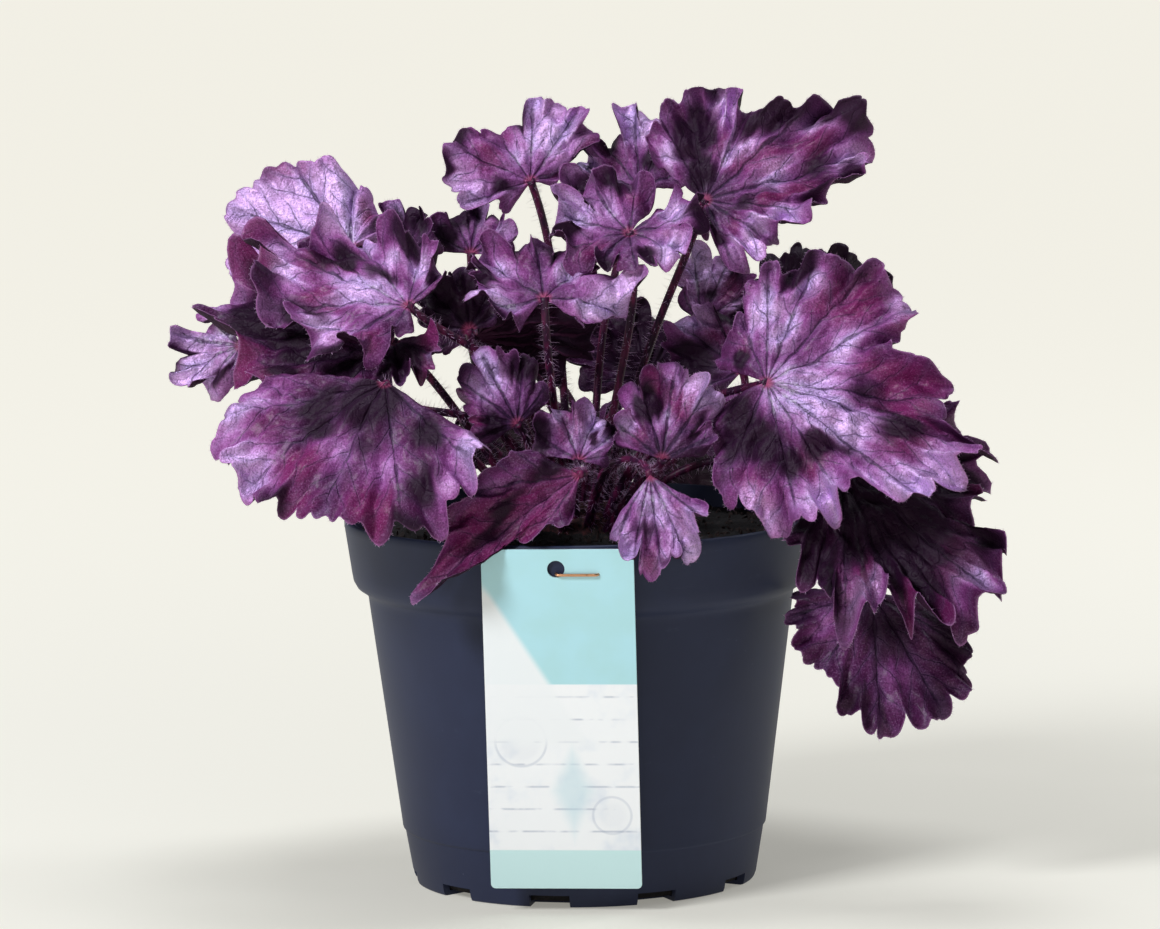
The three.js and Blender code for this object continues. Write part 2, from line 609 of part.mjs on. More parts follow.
function makeLabel() {
  const card = new THREE.Shape();
  const halfWidth = LABEL_WIDTH / 2;
  const corner = LABEL_CORNER;
  card.moveTo(-halfWidth + corner, 0);
  card.lineTo(halfWidth - corner, 0);
  card.quadraticCurveTo(halfWidth, 0, halfWidth, -corner);
  card.lineTo(halfWidth, corner - LABEL_HEIGHT);
  card.quadraticCurveTo(halfWidth, -LABEL_HEIGHT, halfWidth - corner, -LABEL_HEIGHT);
  card.lineTo(corner - halfWidth, -LABEL_HEIGHT);
  card.quadraticCurveTo(-halfWidth, -LABEL_HEIGHT, -halfWidth, corner - LABEL_HEIGHT);
  card.lineTo(-halfWidth, -corner);
  card.quadraticCurveTo(-halfWidth, 0, corner - halfWidth, 0);
  const hole = new THREE.Path();
  hole.absarc(LABEL_HOLE_X, -LABEL_HOLE_BELOW_TOP, LABEL_HOLE_RADIUS, 0, 2 * Math.PI, false);
  card.holes.push(hole);
  // The shape lies in x and y, so it's stood up: its y becomes z, and its depth goes to -y.
  const geometry = new THREE.ExtrudeGeometry(card, {
    depth: LABEL_THICKNESS, bevelEnabled: false, curveSegments: 8,
  }).rotateX(Math.PI / 2);
  return placeLabel(geometry);
}

const STAPLE_LEGS = [LABEL_HOLE_X, LABEL_HOLE_X + STAPLE_CROWN];

function makeStaple() {
  const front = -LABEL_THICKNESS - REST_GAP - STAPLE_WIRE / 2;
  const back = front + STAPLE_LEG;
  const z = -STAPLE_BELOW_TOP;
  const bend = STAPLE_BEND;
  const path = new THREE.CurvePath();
  const at = (x, y) => new THREE.Vector3(x, y, z);
  const [left, right] = STAPLE_LEGS;
  path.add(new THREE.LineCurve3(at(left, back), at(left, front + bend)));
  path.add(new THREE.QuadraticBezierCurve3(at(left, front + bend), at(left, front), at(left + bend, front)));
  path.add(new THREE.LineCurve3(at(left + bend, front), at(right - bend, front)));
  path.add(
    new THREE.QuadraticBezierCurve3(at(right - bend, front), at(right, front), at(right, front + bend)),
  );
  path.add(new THREE.LineCurve3(at(right, front + bend), at(right, back)));
  return placeLabel(barAlong(path, STAPLE_WIRE / 2, 5, 20));
}

// Clearance for one leg of the staple, through card, wall and soil.
function makeLegHole(x) {
  const radius = STAPLE_HOLE_RADIUS;
  const hole = new THREE.CylinderGeometry(radius, radius, 2 * STAPLE_LEG, 12);
  return solidFrom(placeLabel(hole.translate(x, 0, -STAPLE_BELOW_TOP)));
}

// ---------------------------------------------------------------- the whole object

const finish = (color, roughness, metalness = 0) =>
  new THREE.MeshStandardMaterial({ color, roughness, metalness });
const POT_PLASTIC = finish(0x2b3040, 0.45);
const PEAT = finish(0x1d1518, 0.95);
const BARK = finish(0x3a2028, 0.85);
const CARD = finish(0xb9dfe2, 0.5);
const COPPER = finish(0xc98a5e, 0.3, 1);
const LEAF = finish(0x5a2358, 0.45);

const plant = new THREE.Group();
plant.name = "potted_heuchera";

function place(name, solid, material) {
  const mesh = new THREE.Mesh(solid.isBufferGeometry ? solid : geometryFrom(solid), material);
  mesh.name = name;
  plant.add(mesh);
}

let pot = makePot();
let soil = makeSoil().subtract(makeCrown(SOIL_GAP));
let label = solidFrom(makeLabel());
for (const x of STAPLE_LEGS) {
  const hole = makeLegHole(x);
  pot = pot.subtract(hole);
  soil = soil.subtract(hole);
  label = label.subtract(hole);
}
let crown = makeCrown(0);
for (const leaf of Object.values(LEAVES)) crown = crown.subtract(makeSocket(leaf));

place("pot", pot, POT_PLASTIC);
place("soil", soil, PEAT);
place("crown", crown, BARK);
place("label", label, CARD);
place("staple", makeStaple(), COPPER);
for (const [name, leaf] of Object.entries(LEAVES)) place("leaf_" + name, makeLeaf(leaf), LEAF);

export default plant;
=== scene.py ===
# A potted heuchera: ruffled plum leaves with silvered tops on hairy stalks, in a round nursery pot
# with a card label stapled to its rim. Each operator dresses one piece, or a group of like
# pieces, over the construction model, and main() runs them in order.

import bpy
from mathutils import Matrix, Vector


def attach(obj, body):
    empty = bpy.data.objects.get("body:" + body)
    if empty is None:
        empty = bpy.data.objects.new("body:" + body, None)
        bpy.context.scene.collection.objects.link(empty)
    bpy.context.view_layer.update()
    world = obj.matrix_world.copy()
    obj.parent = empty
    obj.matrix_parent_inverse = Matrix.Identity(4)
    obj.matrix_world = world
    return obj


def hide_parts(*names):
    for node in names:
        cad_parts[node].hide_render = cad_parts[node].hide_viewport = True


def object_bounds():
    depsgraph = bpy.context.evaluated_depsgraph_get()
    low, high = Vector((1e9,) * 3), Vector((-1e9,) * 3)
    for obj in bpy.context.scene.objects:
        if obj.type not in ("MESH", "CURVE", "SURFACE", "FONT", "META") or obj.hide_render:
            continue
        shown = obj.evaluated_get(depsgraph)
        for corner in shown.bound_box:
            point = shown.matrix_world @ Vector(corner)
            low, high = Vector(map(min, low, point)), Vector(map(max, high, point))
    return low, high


bl_info = {
    "name": "Potted heuchera",
    "version": (1, 0, 0),
    "blender": (4, 5, 0),
    "location": "3D View > Sidebar > Heuchera",
    "description": "Dresses the model of a potted heuchera with leaves, hairs, soil, pot, label and stage",
    "category": "Object",
}

import math

import bpy
import numpy as np
from bpy.props import FloatProperty, FloatVectorProperty, IntProperty, PointerProperty
from mathutils import Matrix, Vector

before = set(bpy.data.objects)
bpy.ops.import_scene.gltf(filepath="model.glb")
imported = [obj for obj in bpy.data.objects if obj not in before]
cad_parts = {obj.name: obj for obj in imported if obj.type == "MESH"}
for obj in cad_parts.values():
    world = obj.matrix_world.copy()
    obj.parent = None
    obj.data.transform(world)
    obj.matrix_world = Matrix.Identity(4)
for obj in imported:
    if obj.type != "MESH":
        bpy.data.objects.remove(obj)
CAD_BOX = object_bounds()

MM = 0.001

# ------------------------------------------------------------------ sizes, in millimetres

POT_HEIGHT = 118
RIM_RADIUS = 75.5
BAND_FOOT_RADIUS = 73.4
BAND_FOOT_Z = 101
SHOULDER_RADIUS = 68.7
SHOULDER_Z = 94.5
FOOT_TOP_RADIUS = 58.6
FOOT_TOP_Z = 18
BASE_RADIUS = 55.2
WALL = 1.4
POT_SIDES = 220
SHARP_ANGLE = 50

DRAIN_SLOTS = 10
DRAIN_SLOT_WIDTH = 13
DRAIN_SLOT_HEIGHT = 4
DRAIN_SLOT_INNER_RADIUS = 46
DRAIN_FIRST_AZIMUTH = -102

SOIL_EDGE_Z = 111
SOIL_CENTRE_Z = 113.5
SOIL_GAP = 0.4
SOIL_RIM_GAP = 0.9
SOIL_SIDES = 150
SOIL_RINGS = 48

CROWN_RADIUS = 18
CROWN_TOP_Z = 124
CROWN_DOME_HEIGHT = 11
CROWN_FOOT_Z = 96
CROWN_TILT = 46
CROWN_SIDES = 96
CROWN_RINGS = 40
CROWN_SKIN = 0.6  # how far the crown's surface lies inside the construction model's
ROOTS = 4
ROOT_RADIUS = 2.2
ROOT_REACH = 34
ROOT_DEPTH = 52

STALK_RADIUS = 1.3
STALK_SIDES = 12
STALK_STEPS = 44
STALK_SOCKET_DEPTH = 4
STALK_SPACING = 3
GOLDEN_ANGLE = 137.5
STALK_RISE = 0.6
STALK_ARRIVAL = 0.28
STALK_SHEATH = 0.5  # how much wider it is where it clasps the crown
STALK_COLLAR = 0.12  # and where it joins the blade

LABEL_WIDTH = 47.5
LABEL_HEIGHT = 110
LABEL_THICKNESS = 0.8
LABEL_CORNER = 1.5
LABEL_EDGE = 0.08  # rounding of the card's edges
LABEL_TOP_Z = 117.2
LABEL_LEAN = 7
LABEL_AZIMUTH = -95.4
LABEL_HOLE_RADIUS = 2.7
LABEL_HOLE_BELOW_TOP = 6.3
LABEL_HOLE_X = -0.5

STAPLE_WIRE = 0.9
STAPLE_CROWN = 13.2
STAPLE_LEG = 6.5
STAPLE_BELOW_TOP = 8
STAPLE_BEND = 1.2
REST_GAP = 0.3

# The leaf surface, as in the construction model.
TEETH_PER_LOBE = 3
NOTCH = 0.26
NOTCH_SPACING = 38  # degrees between lobes, past which the gap grows no deeper
LIFT_POWER = 1.7

# What this file adds to it.
COLUMNS_PER_LOBE = 24
RINGS = 34
BLADE_THICKNESS = 0.5
NOTCH_SHARE = 0.55  # of the construction model's, where a leaf gives none of its own
TOOTH_DEPTH = 0.28  # of a tooth's width
CURL_START = 0.52  # share of the way out where the margin starts to curl
RUFFLE_SPACING = 12  # length of margin that the curls are counted over
SLOW_CURLS = 0.72  # waves in that length
QUICK_CURLS = 1.47
STEEPEST_CURL = 2.0  # radians
FOLD = 1.2  # how far a curl sways sideways over its foot
PINCH = 0.14  # how far the margin is drawn in where it turns over
LONGEST_STRETCH = 1.55  # gives back the reach that curling takes
PUFF = 0.17  # how far the blade bulges between veins, of the gap between them
GROOVE = 0.5  # depth of a main vein from above
RIDGE = 0.8  # and its height from below
TUCK = 0.4  # slope of the two ends of the margin, beside the stalk
FUNNEL = 0.9  # depth of the dip where the stalk joins
BOX_ROOM = 0.8
BOX_SOFTNESS = 4
SMALLEST_PATCH = 0.14  # share of a blade

STALK_HAIR_RADIUS = 0.06
MARGIN_HAIR_RADIUS = 0.055

FLOOR_SIZE = 12000
LIT_RADIUS = 1050  # round the pot, where the lamps light the floor
FLOOR_GLOW = 0.93  # far out, where no lamp reaches
LIT_GLOW_LOSS = 0.64  # and how much less under the lamps
LAMP_AIM = (0, 0, 140)

CAMERA_HEIGHT_ANGLE = 7.4
CAMERA_ROLL = 0.9
CAMERA_DISTANCE = 2030
CAMERA_TARGET = (0.35, 0, 133.6)
CAMERA_LENS = 196.6
SENSOR_WIDTH = 36

# ------------------------------------------------------------------ leaves

# Each leaf. base is where its stalk meets the blade, along is the way its middle lobe points, and
# face the way its upper side looks. Each lobe is its direction from the middle lobe in degrees,
# its reach from the base, and how far its tip stands over the leaf's flat plane. ruffle is the
# height of the waves along the margin. site is the place in the crown's spiral that the stalk
# grows from, and bow pushes the middle of the stalk sideways. All of that is as in the
# construction model. frill is the strength of the margin's curls and folds, and notch the depth of
# the gaps between lobes as a share of the construction model's. crumple is the unevenness of the
# blade as a share of the usual. ribs are the directions of the main veins, where they aren't the
# lobes' own. curls are places where the margin curls up by an angle in radians: direction, width,
# angle. tone makes the whole blade paler, or darker where it is below 0, as the ground level of the
# lilac patches. The last three kinds of key are round patches: of lilac, partly the leaf's silvery
# bloom and partly painted sheen; of magenta, partly the leaf's own colour and partly a painted glow
# of light through the blade; and of near black, painted shade. Each is a direction, share of the
# way out, width in degrees, and strength.
LEAVES = {
    "left_top": dict(
        base=(-72, 5, 204), along=(-0.67, 0.49, 0.56), face=(-0.25, -0.85, 0.45),
        lobes=((-70, 29, -8), (-44, 42, -3), (-22, 45, 0), (0, 41, 0), (30, 33, 3), (46, 24, -6),
            (66, 17, -10), (92, 12, -9)),
        ruffle=1.6, seed=3, site=9, frill=0.22, tone=0.4, notch=0.15, crumple=0.6,
        ribs=(-58, -22, 12, 42),
        curls=((60, 14, -0.9),),
        silver=((-20, 0.5, 50, 1), (30, 0.6, 22, 1), (-50, 0.85, 14, 0.8)),
        blush=((10, 0.97, 9, 0.9), (62, 0.7, 12, 1), (-64, 0.9, 9, 0.6), (-34, 0.6, 14, 0.35),
            (14, 0.6, 12, 0.4)),
        dark=((0, 0.99, 5, 0.5), (78, 0.8, 12, 0.6)),
    ),
    "left_upper": dict(
        base=(-53, -34, 190), along=(-0.89, 0.42, 0.17), face=(-0.15, -0.62, 0.77),
        lobes=((-108, 13, -3), (-70, 24, 0), (-38, 36, -1), (-14, 50, 0), (6, 58, 3), (26, 40, 4),
            (48, 30, 5), (82, 22, 3), (118, 16, 5)),
        ruffle=2.6, seed=7, site=4, frill=0.95, tone=-0.04, notch=0.55,
        ribs=(-95, -55, -18, 8, 36, 75, 112),
        curls=((26, 7, 1.7), (-14, 9, 0.9), (66, 8, 1.3)),
        silver=((84, 0.65, 18, 1), (0, 0.3, 34, 0.9), (-38, 0.75, 12, 0.9), (34, 0.93, 9, 0.9),
            (50, 0.6, 10, 0.8), (-2, 0.8, 8, 0.9)),
        blush=((-14, 0.55, 12, 0.8), (12, 0.62, 10, 0.8), (-70, 0.7, 14, 0.6), (4, 0.97, 9, 0.8)),
        dark=((20, 0.62, 9, 1), (64, 0.85, 10, 1), (-24, 0.75, 8, 1), (-10, 0.92, 8, 0.7),
            (104, 0.7, 12, 0.9), (34, 0.4, 8, 0.7), (-55, 0.92, 8, 0.9)),
    ),
    "left_middle": dict(
        base=(-58, -28, 178), along=(-0.89, 0.4, 0.12), face=(-0.2, -0.6, 0.75),
        lobes=((-190, 16, 3), (-166, 19, 1), (-138, 18, 0), (-112, 20, -1), (-85, 27, -4), (-56, 41, -7),
            (-38, 45, -5), (-22, 52, -3), (-8, 66, -1), (3, 72, 0), (14, 62, 2), (30, 48, 0),
            (55, 26, -2)),
        ruffle=2.4, seed=11, site=25, frill=0.9, tone=-0.34,
        ribs=(-166, -120, -70, -30, 2, 28, 55),
        curls=((3, 9, -0.4), (-45, 10, 0.6), (-12, 7, 1.2)),
        silver=((22, 0.5, 15, 1), (30, 0.72, 8, 0.9), (-52, 0.97, 8, 0.9), (6, 0.93, 7, 0.6),
            (-84, 0.9, 9, 0.8), (-166, 0.9, 12, 0.9)),
        blush=((-50, 0.85, 14, 1), (-28, 0.95, 10, 0.9), (-88, 0.85, 12, 0.9), (-166, 0.97, 24, 0.9),
            (16, 0.9, 8, 0.7)),
        dark=((0, 0.68, 14, 1), (-18, 0.5, 22, 1), (-140, 0.55, 34, 1), (-64, 0.45, 24, 1),
            (-106, 0.8, 14, 1), (44, 0.75, 12, 0.9), (-36, 0.78, 8, 0.9), (12, 0.8, 7, 0.8)),
    ),
    "left_outer": dict(
        base=(-108, 0, 174), along=(-0.84, 0.33, -0.43), face=(-0.5, -0.75, 0.4),
        lobes=((-52, 9, -4), (-28, 20, -2), (0, 27, 1), (28, 22, 3), (60, 13, 2)),
        ruffle=1.8, seed=5, site=30, frill=1.2, tone=0.2,
        silver=((0, 0.8, 30, 0.95), (40, 0.5, 24, 0.9)),
        blush=((25, 0.4, 25, 0.5),),
        dark=((-32, 0.6, 14, 0.9), (14, 0.9, 10, 0.9)),
    ),
    "left_low": dict(
        base=(-60, -56, 168), along=(-0.5, -0.56, -0.66), face=(-0.1, -0.72, 0.68),
        lobes=((-80, 42, -3), (-61, 50, -6), (-42, 54, -10), (-23, 53, -9), (0, 53, -8), (22, 57, -6),
            (41, 57, -4), (56, 47, -4), (72, 38, -3)),
        ruffle=1.6, seed=13, site=12, bow=(0, -10, -18), frill=0.34, tone=-0.14, notch=0.2, crumple=0.9,
        ribs=(-70, -36, -6, 24, 50),
        curls=((-74, 12, 0.7), (-10, 8, 0.5)),
        silver=((-76, 0.93, 11, 1), (30, 0.93, 10, 0.8), (52, 0.93, 10, 0.7), (2, 0.55, 6, 0.5),
            (-30, 0.6, 6, 0.4), (-54, 0.9, 6, 0.4)),
        blush=((14, 0.7, 10, 0.9), (-26, 0.85, 10, 0.8), (4, 0.95, 9, 0.6), (40, 0.7, 10, 0.5)),
        dark=((-64, 0.5, 14, 0.9), (44, 0.4, 18, 0.9), (0, 0.14, 90, 1), (24, 0.45, 9, 0.8),
            (-46, 0.75, 9, 0.8), (-14, 0.45, 10, 0.6), (-36, 0.97, 6, 0.8), (12, 0.97, 5, 0.7)),
    ),
    "front_folded": dict(
        base=(0, -64, 139), along=(-0.8, -0.24, -0.55), face=(-0.05, -0.88, 0.47),
        lobes=((-34, 20, 4), (-15, 28, 5), (-5, 55, 3), (2, 64, 0), (10, 48, 4), (22, 35, 7),
            (50, 22, 9)),
        ruffle=1, seed=17, site=28, frill=0.5, tone=-0.5, notch=0.5,
        ribs=(-24, 0, 26),
        silver=((30, 0.8, 14, 0.2), (2, 0.99, 6, 0.5)),
        blush=((0, 0.3, 60, 0.9), (-6, 0.75, 24, 0.9)),
        dark=((8, 0.55, 12, 0.8), (50, 0.4, 24, 0.9), (-2, 0.9, 12, 0.5)),
    ),
    "front_small": dict(
        base=(26, -54, 142), along=(0.1, 0.3, 0.95), face=(0.1, -0.9, 0.4),
        lobes=((-56, 19, -2), (-22, 27, 2), (3, 31, -2), (29, 28, 3), (60, 18, -2)),
        ruffle=1.8, seed=19, site=10, frill=1.4, tone=-0.14,
        silver=((-50, 0.75, 15, 0.8), (24, 0.88, 16, 1), (0, 0.4, 16, 0.6)),
        blush=((-50, 0.5, 14, 0.8), (14, 0.6, 16, 0.9), (-10, 0.8, 12, 0.7)),
        dark=((-20, 0.6, 16, 1), (44, 0.6, 12, 0.8), (8, 0.95, 8, 0.6)),
    ),
    "front_hanging": dict(
        base=(22, -67, 139), along=(0.1, -0.44, -0.89), face=(0, -0.9, 0.44),
        lobes=((-40, 23, 3), (-17, 29, -2), (1, 32, 0), (18, 31, 3), (36, 23, -2)),
        ruffle=1.8, seed=23, site=23, frill=1.3, tone=0.15,
        silver=((0, 0.4, 30, 0.6), (-20, 0.9, 16, 0.9), (26, 0.9, 12, 0.9)),
        blush=((4, 0.8, 12, 0.7), (-30, 0.6, 10, 0.6)),
        dark=((12, 0.55, 7, 0.7), (-8, 0.9, 6, 0.6)),
    ),
    "front_centre": dict(
        base=(0, -43, 141), along=(0.33, 0.57, 0.75), face=(0, -0.8, 0.6),
        lobes=((-76, 17, 1), (-39, 20, 3), (0, 18, 0), (36, 15, 3), (64, 10, -2)),
        ruffle=2, seed=29, site=15, frill=1.5, tone=-0.04,
        silver=((10, 0.8, 30, 0.9), (-50, 0.8, 16, 0.8)),
        blush=((-30, 0.6, 24, 0.9),),
        dark=((-74, 0.8, 16, 1), (16, 0.5, 12, 0.9), (40, 0.9, 12, 0.8)),
    ),
    "right_big": dict(
        base=(59, -48, 165), along=(0.94, -0.26, -0.23), face=(-0.12, -0.86, 0.5),
        lobes=((-147, 23, -6), (-105, 38, 4), (-77, 46, 1), (-58, 52, 3), (-46, 52, 4), (-27, 41, 1),
            (-14, 57, -2), (-5, 57, -1), (3, 75, 0), (13, 71, 2), (23, 67, 4), (33, 47, 1), (52, 51, -2),
            (68, 49, -4), (86, 40, -6), (126, 25, -9)),
        ruffle=1.5, seed=31, site=18, frill=0.45, tone=0.02, notch=0.32, crumple=1.2,
        ribs=(-128, -106, -86, -66, -43, -8, 4, 24, 42, 60, 96),
        curls=((-50, 8, -0.8), (-26, 7, 0.9), (33, 6, 0.8), (-84, 8, 0.9)),
        silver=((-112, 0.65, 13, 1), (-90, 0.4, 13, 1), (-82, 0.75, 5, 0.8), (-38, 0.55, 11, 0.9),
            (10, 0.22, 44, 1), (22, 0.45, 16, 1), (19, 0.9, 9, 1), (50, 0.88, 8, 1), (76, 0.92, 8, 0.9),
            (-48, 0.96, 5, 0.8), (-22, 0.32, 16, 0.8)),
        blush=((-64, 0.75, 14, 1), (-12, 0.78, 12, 1), (-44, 0.97, 6, 0.9), (9, 0.68, 7, 0.8),
            (44, 0.6, 9, 0.9), (78, 0.85, 10, 0.8), (-136, 0.6, 12, 0.7)),
        dark=((-91, 0.92, 6, 1), (-66, 0.9, 8, 0.6), (-10, 0.55, 6, 0.6), (5, 0.62, 5, 0.8),
            (36, 0.55, 5, 1), (58, 0.55, 9, 0.9), (82, 0.45, 24, 1), (112, 0.55, 28, 1),
            (-150, 0.55, 14, 1), (1, 0.92, 6, 0.6)),
    ),
    "right_behind": dict(
        base=(72, 8, 173), along=(0.13, 0.51, 0.85), face=(0.1, -0.85, 0.5),
        lobes=((-60, 22, 0), (-28, 30, 2), (0, 33, 0), (25, 34, 2), (52, 36, 0)),
        ruffle=1.4, seed=37, site=31, frill=0.4, tone=-0.5,
        dark=((0, 0.6, 90, 1), (0, 1, 90, 1), (0, 0.2, 90, 1)),
    ),
    "right_low": dict(
        base=(82, -40, 138), along=(0.57, -0.47, -0.68), face=(0.1, -0.78, 0.62),
        lobes=((-78, 42, 2), (-50, 48, -2), (-34, 46, -1), (-17, 65, 2), (-5, 70, 1), (4, 68, 0),
            (12, 58, -1), (20, 48, -2), (29, 58, -3), (40, 50, -4), (52, 42, -3), (64, 35, -2)),
        ruffle=2, seed=41, site=13, frill=0.7, tone=-0.3, notch=0.5,
        ribs=(-64, -34, -8, 16, 34, 58),
        silver=((27, 0.84, 6, 1), (-9, 0.8, 5, 1), (-50, 0.9, 7, 0.4)),
        blush=((27, 0.8, 9, 0.9), (-9, 0.74, 8, 0.9), (-44, 0.95, 8, 0.6), (10, 0.9, 8, 0.6)),
        dark=((0, 0.3, 80, 1), (8, 0.72, 10, 1), (-50, 0.65, 24, 1), (52, 0.75, 14, 1),
            (-22, 0.85, 6, 0.8), (38, 0.9, 6, 0.8)),
    ),
    "right_hanging": dict(
        base=(92, -36, 96), along=(0.17, -0.28, -0.95), face=(0.15, -0.93, 0.3),
        lobes=((-66, 24, -3), (-46, 38, -1), (-34, 44, 0), (-14, 46, 1), (6, 46, 0), (26, 40, 1),
            (42, 31, 1), (60, 32, 2), (80, 29, 0), (98, 26, -2)),
        ruffle=1.5, seed=43, site=26, bow=(0, 8, 26), frill=0.35, tone=-0.17, notch=0.6, crumple=0.6,
        ribs=(-50, -20, 8, 44, 84),
        silver=((66, 0.6, 14, 0.35), (-6, 0.6, 10, 0.2)),
        dark=((-10, 0.3, 50, 0.7), (20, 0.9, 14, 0.6), (-50, 0.8, 16, 0.8), (-20, 0.9, 10, 0.5)),
    ),
    "top_right": dict(
        base=(41, -18, 220), along=(0.95, -0.03, 0.31), face=(-0.2, -0.82, 0.52),
        lobes=((-112, 28, 3), (-90, 33, 5), (-70, 39, 6), (-56, 37, 5), (-43, 31, 4), (-30, 40, 3),
            (-18, 52, 2), (-5, 59, 1), (4, 54, 0), (12, 53, 0), (21, 38, -2), (32, 35, -3), (46, 25, -4),
            (66, 28, -6), (80, 25, -5), (104, 12, -4)),
        ruffle=2.4, seed=47, site=8, bow=(4, 0, -12), frill=0.75, tone=-0.08, crumple=1.2,
        ribs=(-100, -80, -48, -22, 4, 28, 52, 84),
        curls=((-8, 7, 0.9), (14, 5, 1), (-34, 9, 0.8), (-90, 10, 0.7)),
        silver=((-110, 0.65, 12, 1), (-60, 0.84, 11, 1), (-40, 0.5, 13, 1), (-17, 0.82, 8, 1),
            (6, 0.88, 7, 1), (38, 0.75, 12, 1), (66, 0.8, 13, 1), (0, 0.4, 16, 0.7)),
        blush=((-20, 0.42, 18, 0.9), (20, 0.55, 10, 1), (58, 0.5, 10, 0.7), (-50, 0.5, 10, 0.8),
            (-8, 0.65, 8, 0.7)),
        dark=((-84, 0.62, 20, 1), (-84, 0.25, 34, 1), (-31, 0.88, 12, 1), (-9, 0.93, 8, 1),
            (14, 0.87, 7, 1), (98, 0.6, 16, 1), (-70, 0.98, 8, 0.7), (26, 0.35, 9, 0.7),
            (3, 0.68, 6, 0.7)),
    ),
    "top_centre": dict(
        base=(-14, 4, 225), along=(-0.46, 0.45, 0.76), face=(0, -0.85, 0.5),
        lobes=((-100, 13, -3), (-76, 24, -1), (-52, 29, 0), (-30, 28, 3), (0, 21, -2), (40, 29, 2),
            (62, 29, 1), (82, 27, 0), (104, 10, -3)),
        ruffle=1.4, seed=53, site=1, bow=(0, 7, 0), frill=0.6, tone=0.16, notch=0.5,
        ribs=(-82, -40, -6, 30, 62, 96),
        silver=((54, 0.65, 22, 1), (8, 0.45, 20, 0.6), (-66, 0.88, 16, 0.8), (30, 0.93, 10, 0.9)),
        blush=((-36, 0.55, 18, 0.8), (92, 0.8, 12, 0.8), (0, 0.9, 12, 0.6)),
        dark=((-78, 0.4, 20, 0.8), (20, 0.95, 8, 0.7), (-32, 0.98, 9, 0.9), (-54, 0.97, 7, 0.8),
            (72, 0.9, 8, 0.5)),
    ),
    "top_front": dict(
        base=(17, -26, 211), along=(-0.85, -0.38, -0.36), face=(-0.05, -0.62, 0.78),
        lobes=((-186, 20, 3), (-158, 25, 3), (-118, 20, -3), (-62, 19, 2), (-24, 17, -3), (8, 24, 3),
            (45, 25, 4), (85, 21, 5), (130, 21, 5)),
        ruffle=2.4, seed=59, site=5, bow=(-10, -8, -16), frill=1.1, tone=0, notch=0.6,
        silver=((-116, 0.75, 20, 0.9), (50, 0.75, 20, 1), (-170, 0.7, 16, 0.9), (90, 0.5, 24, 0.6)),
        blush=((130, 0.6, 14, 0.7), (0, 0.6, 18, 0.7), (-140, 0.6, 12, 0.6)),
        dark=((-84, 0.7, 14, 0.9), (22, 0.9, 11, 0.9), (108, 0.85, 12, 0.9), (-150, 0.95, 12, 0.8),
            (-30, 0.9, 12, 0.8)),
    ),
    "top_back": dict(
        base=(21, 8, 221), along=(-0.06, 0.57, 0.82), face=(-0.15, -0.8, 0.55),
        lobes=((-88, 24, 3), (-57, 25, 2), (-27, 23, -2), (0, 29, 2), (28, 28, 3), (66, 20, -3)),
        ruffle=2.2, seed=61, site=3, bow=(-18, 0, -16), frill=1.3, tone=0.05,
        silver=((4, 0.8, 16, 1), (-60, 0.8, 16, 0.8)),
        blush=((-30, 0.6, 24, 0.6),),
        dark=((24, 0.4, 20, 0.9), (50, 0.85, 14, 0.9), (-26, 0.9, 12, 0.9), (-84, 0.7, 14, 0.8)),
    ),
    "centre": dict(
        base=(-10, -38, 192), along=(-0.05, 0.75, 0.66), face=(0, -0.66, 0.75),
        lobes=((-118, 15, -3), (-92, 24, 3), (-48, 29, 0), (-12, 22, 3), (42, 20, -3), (88, 31, 0),
            (112, 19, -4)),
        ruffle=2.4, seed=67, site=7, frill=1.1, tone=-0.06, notch=0.6,
        ribs=(-106, -48, -4, 46, 100),
        silver=((-96, 0.75, 18, 1), (-48, 0.6, 14, 0.8), (42, 0.6, 18, 1), (98, 0.75, 20, 1)),
        blush=((-24, 0.7, 14, 0.4), (70, 0.9, 12, 0.6)),
        dark=((-70, 0.8, 11, 0.9), (68, 0.8, 9, 0.9), (16, 0.9, 11, 0.9), (-112, 0.97, 10, 0.8),
            (-20, 0.97, 10, 0.7)),
    ),
    "centre_under": dict(
        base=(-32, -4, 177), along=(0.99, -0.05, -0.1), face=(0.1, 0.75, 0.65),
        lobes=((-60, 17, 2), (-30, 32, 0), (-12, 38, 0), (6, 39, 1), (24, 36, 0), (45, 28, -2),
            (72, 12, -2)),
        ruffle=1.8, seed=71, site=16, bow=(14, 18, -20), frill=0.5,
        silver=((0, 0.5, 50, 0.5),),
        blush=((0, 0.7, 30, 0.3),),
    ),
    "back_left": dict(
        base=(-55, 30, 200), along=(-0.28, 0.67, 0.69), face=(-0.3, -0.75, 0.6),
        lobes=((-72, 24, -2), (-42, 24, 2), (-18, 20, 2), (6, 19, 0), (40, 15, 3), (85, 12, 0)),
        ruffle=2, seed=73, site=14, frill=1.3, tone=-0.1, notch=0.6,
        silver=((20, 0.85, 16, 0.8), (-50, 0.8, 12, 0.6)),
        blush=((-20, 0.7, 20, 0.6),),
        dark=((-34, 0.9, 20, 1), (44, 0.8, 24, 1), (0, 0.5, 30, 0.8)),
    ),
    "back_centre": dict(
        base=(-34, 38, 199), along=(0.15, 0.65, 0.75), face=(0, -0.75, 0.65),
        lobes=((-68, 16, 1), (-32, 16, 3), (0, 18, 0), (36, 16, 3), (66, 16, 0)),
        ruffle=1.8, seed=79, site=6, frill=1.3, tone=-0.05, notch=0.6,
        silver=((0, 0.8, 20, 0.8), (50, 0.8, 14, 0.7)),
        blush=((20, 0.6, 20, 0.6),),
        dark=((-24, 0.9, 24, 1), (-60, 0.6, 20, 0.9), (24, 0.95, 10, 0.7)),
    ),
    "right_middle": dict(
        base=(40, 0, 179), along=(0.48, 0.49, 0.73), face=(0.1, -0.85, 0.5),
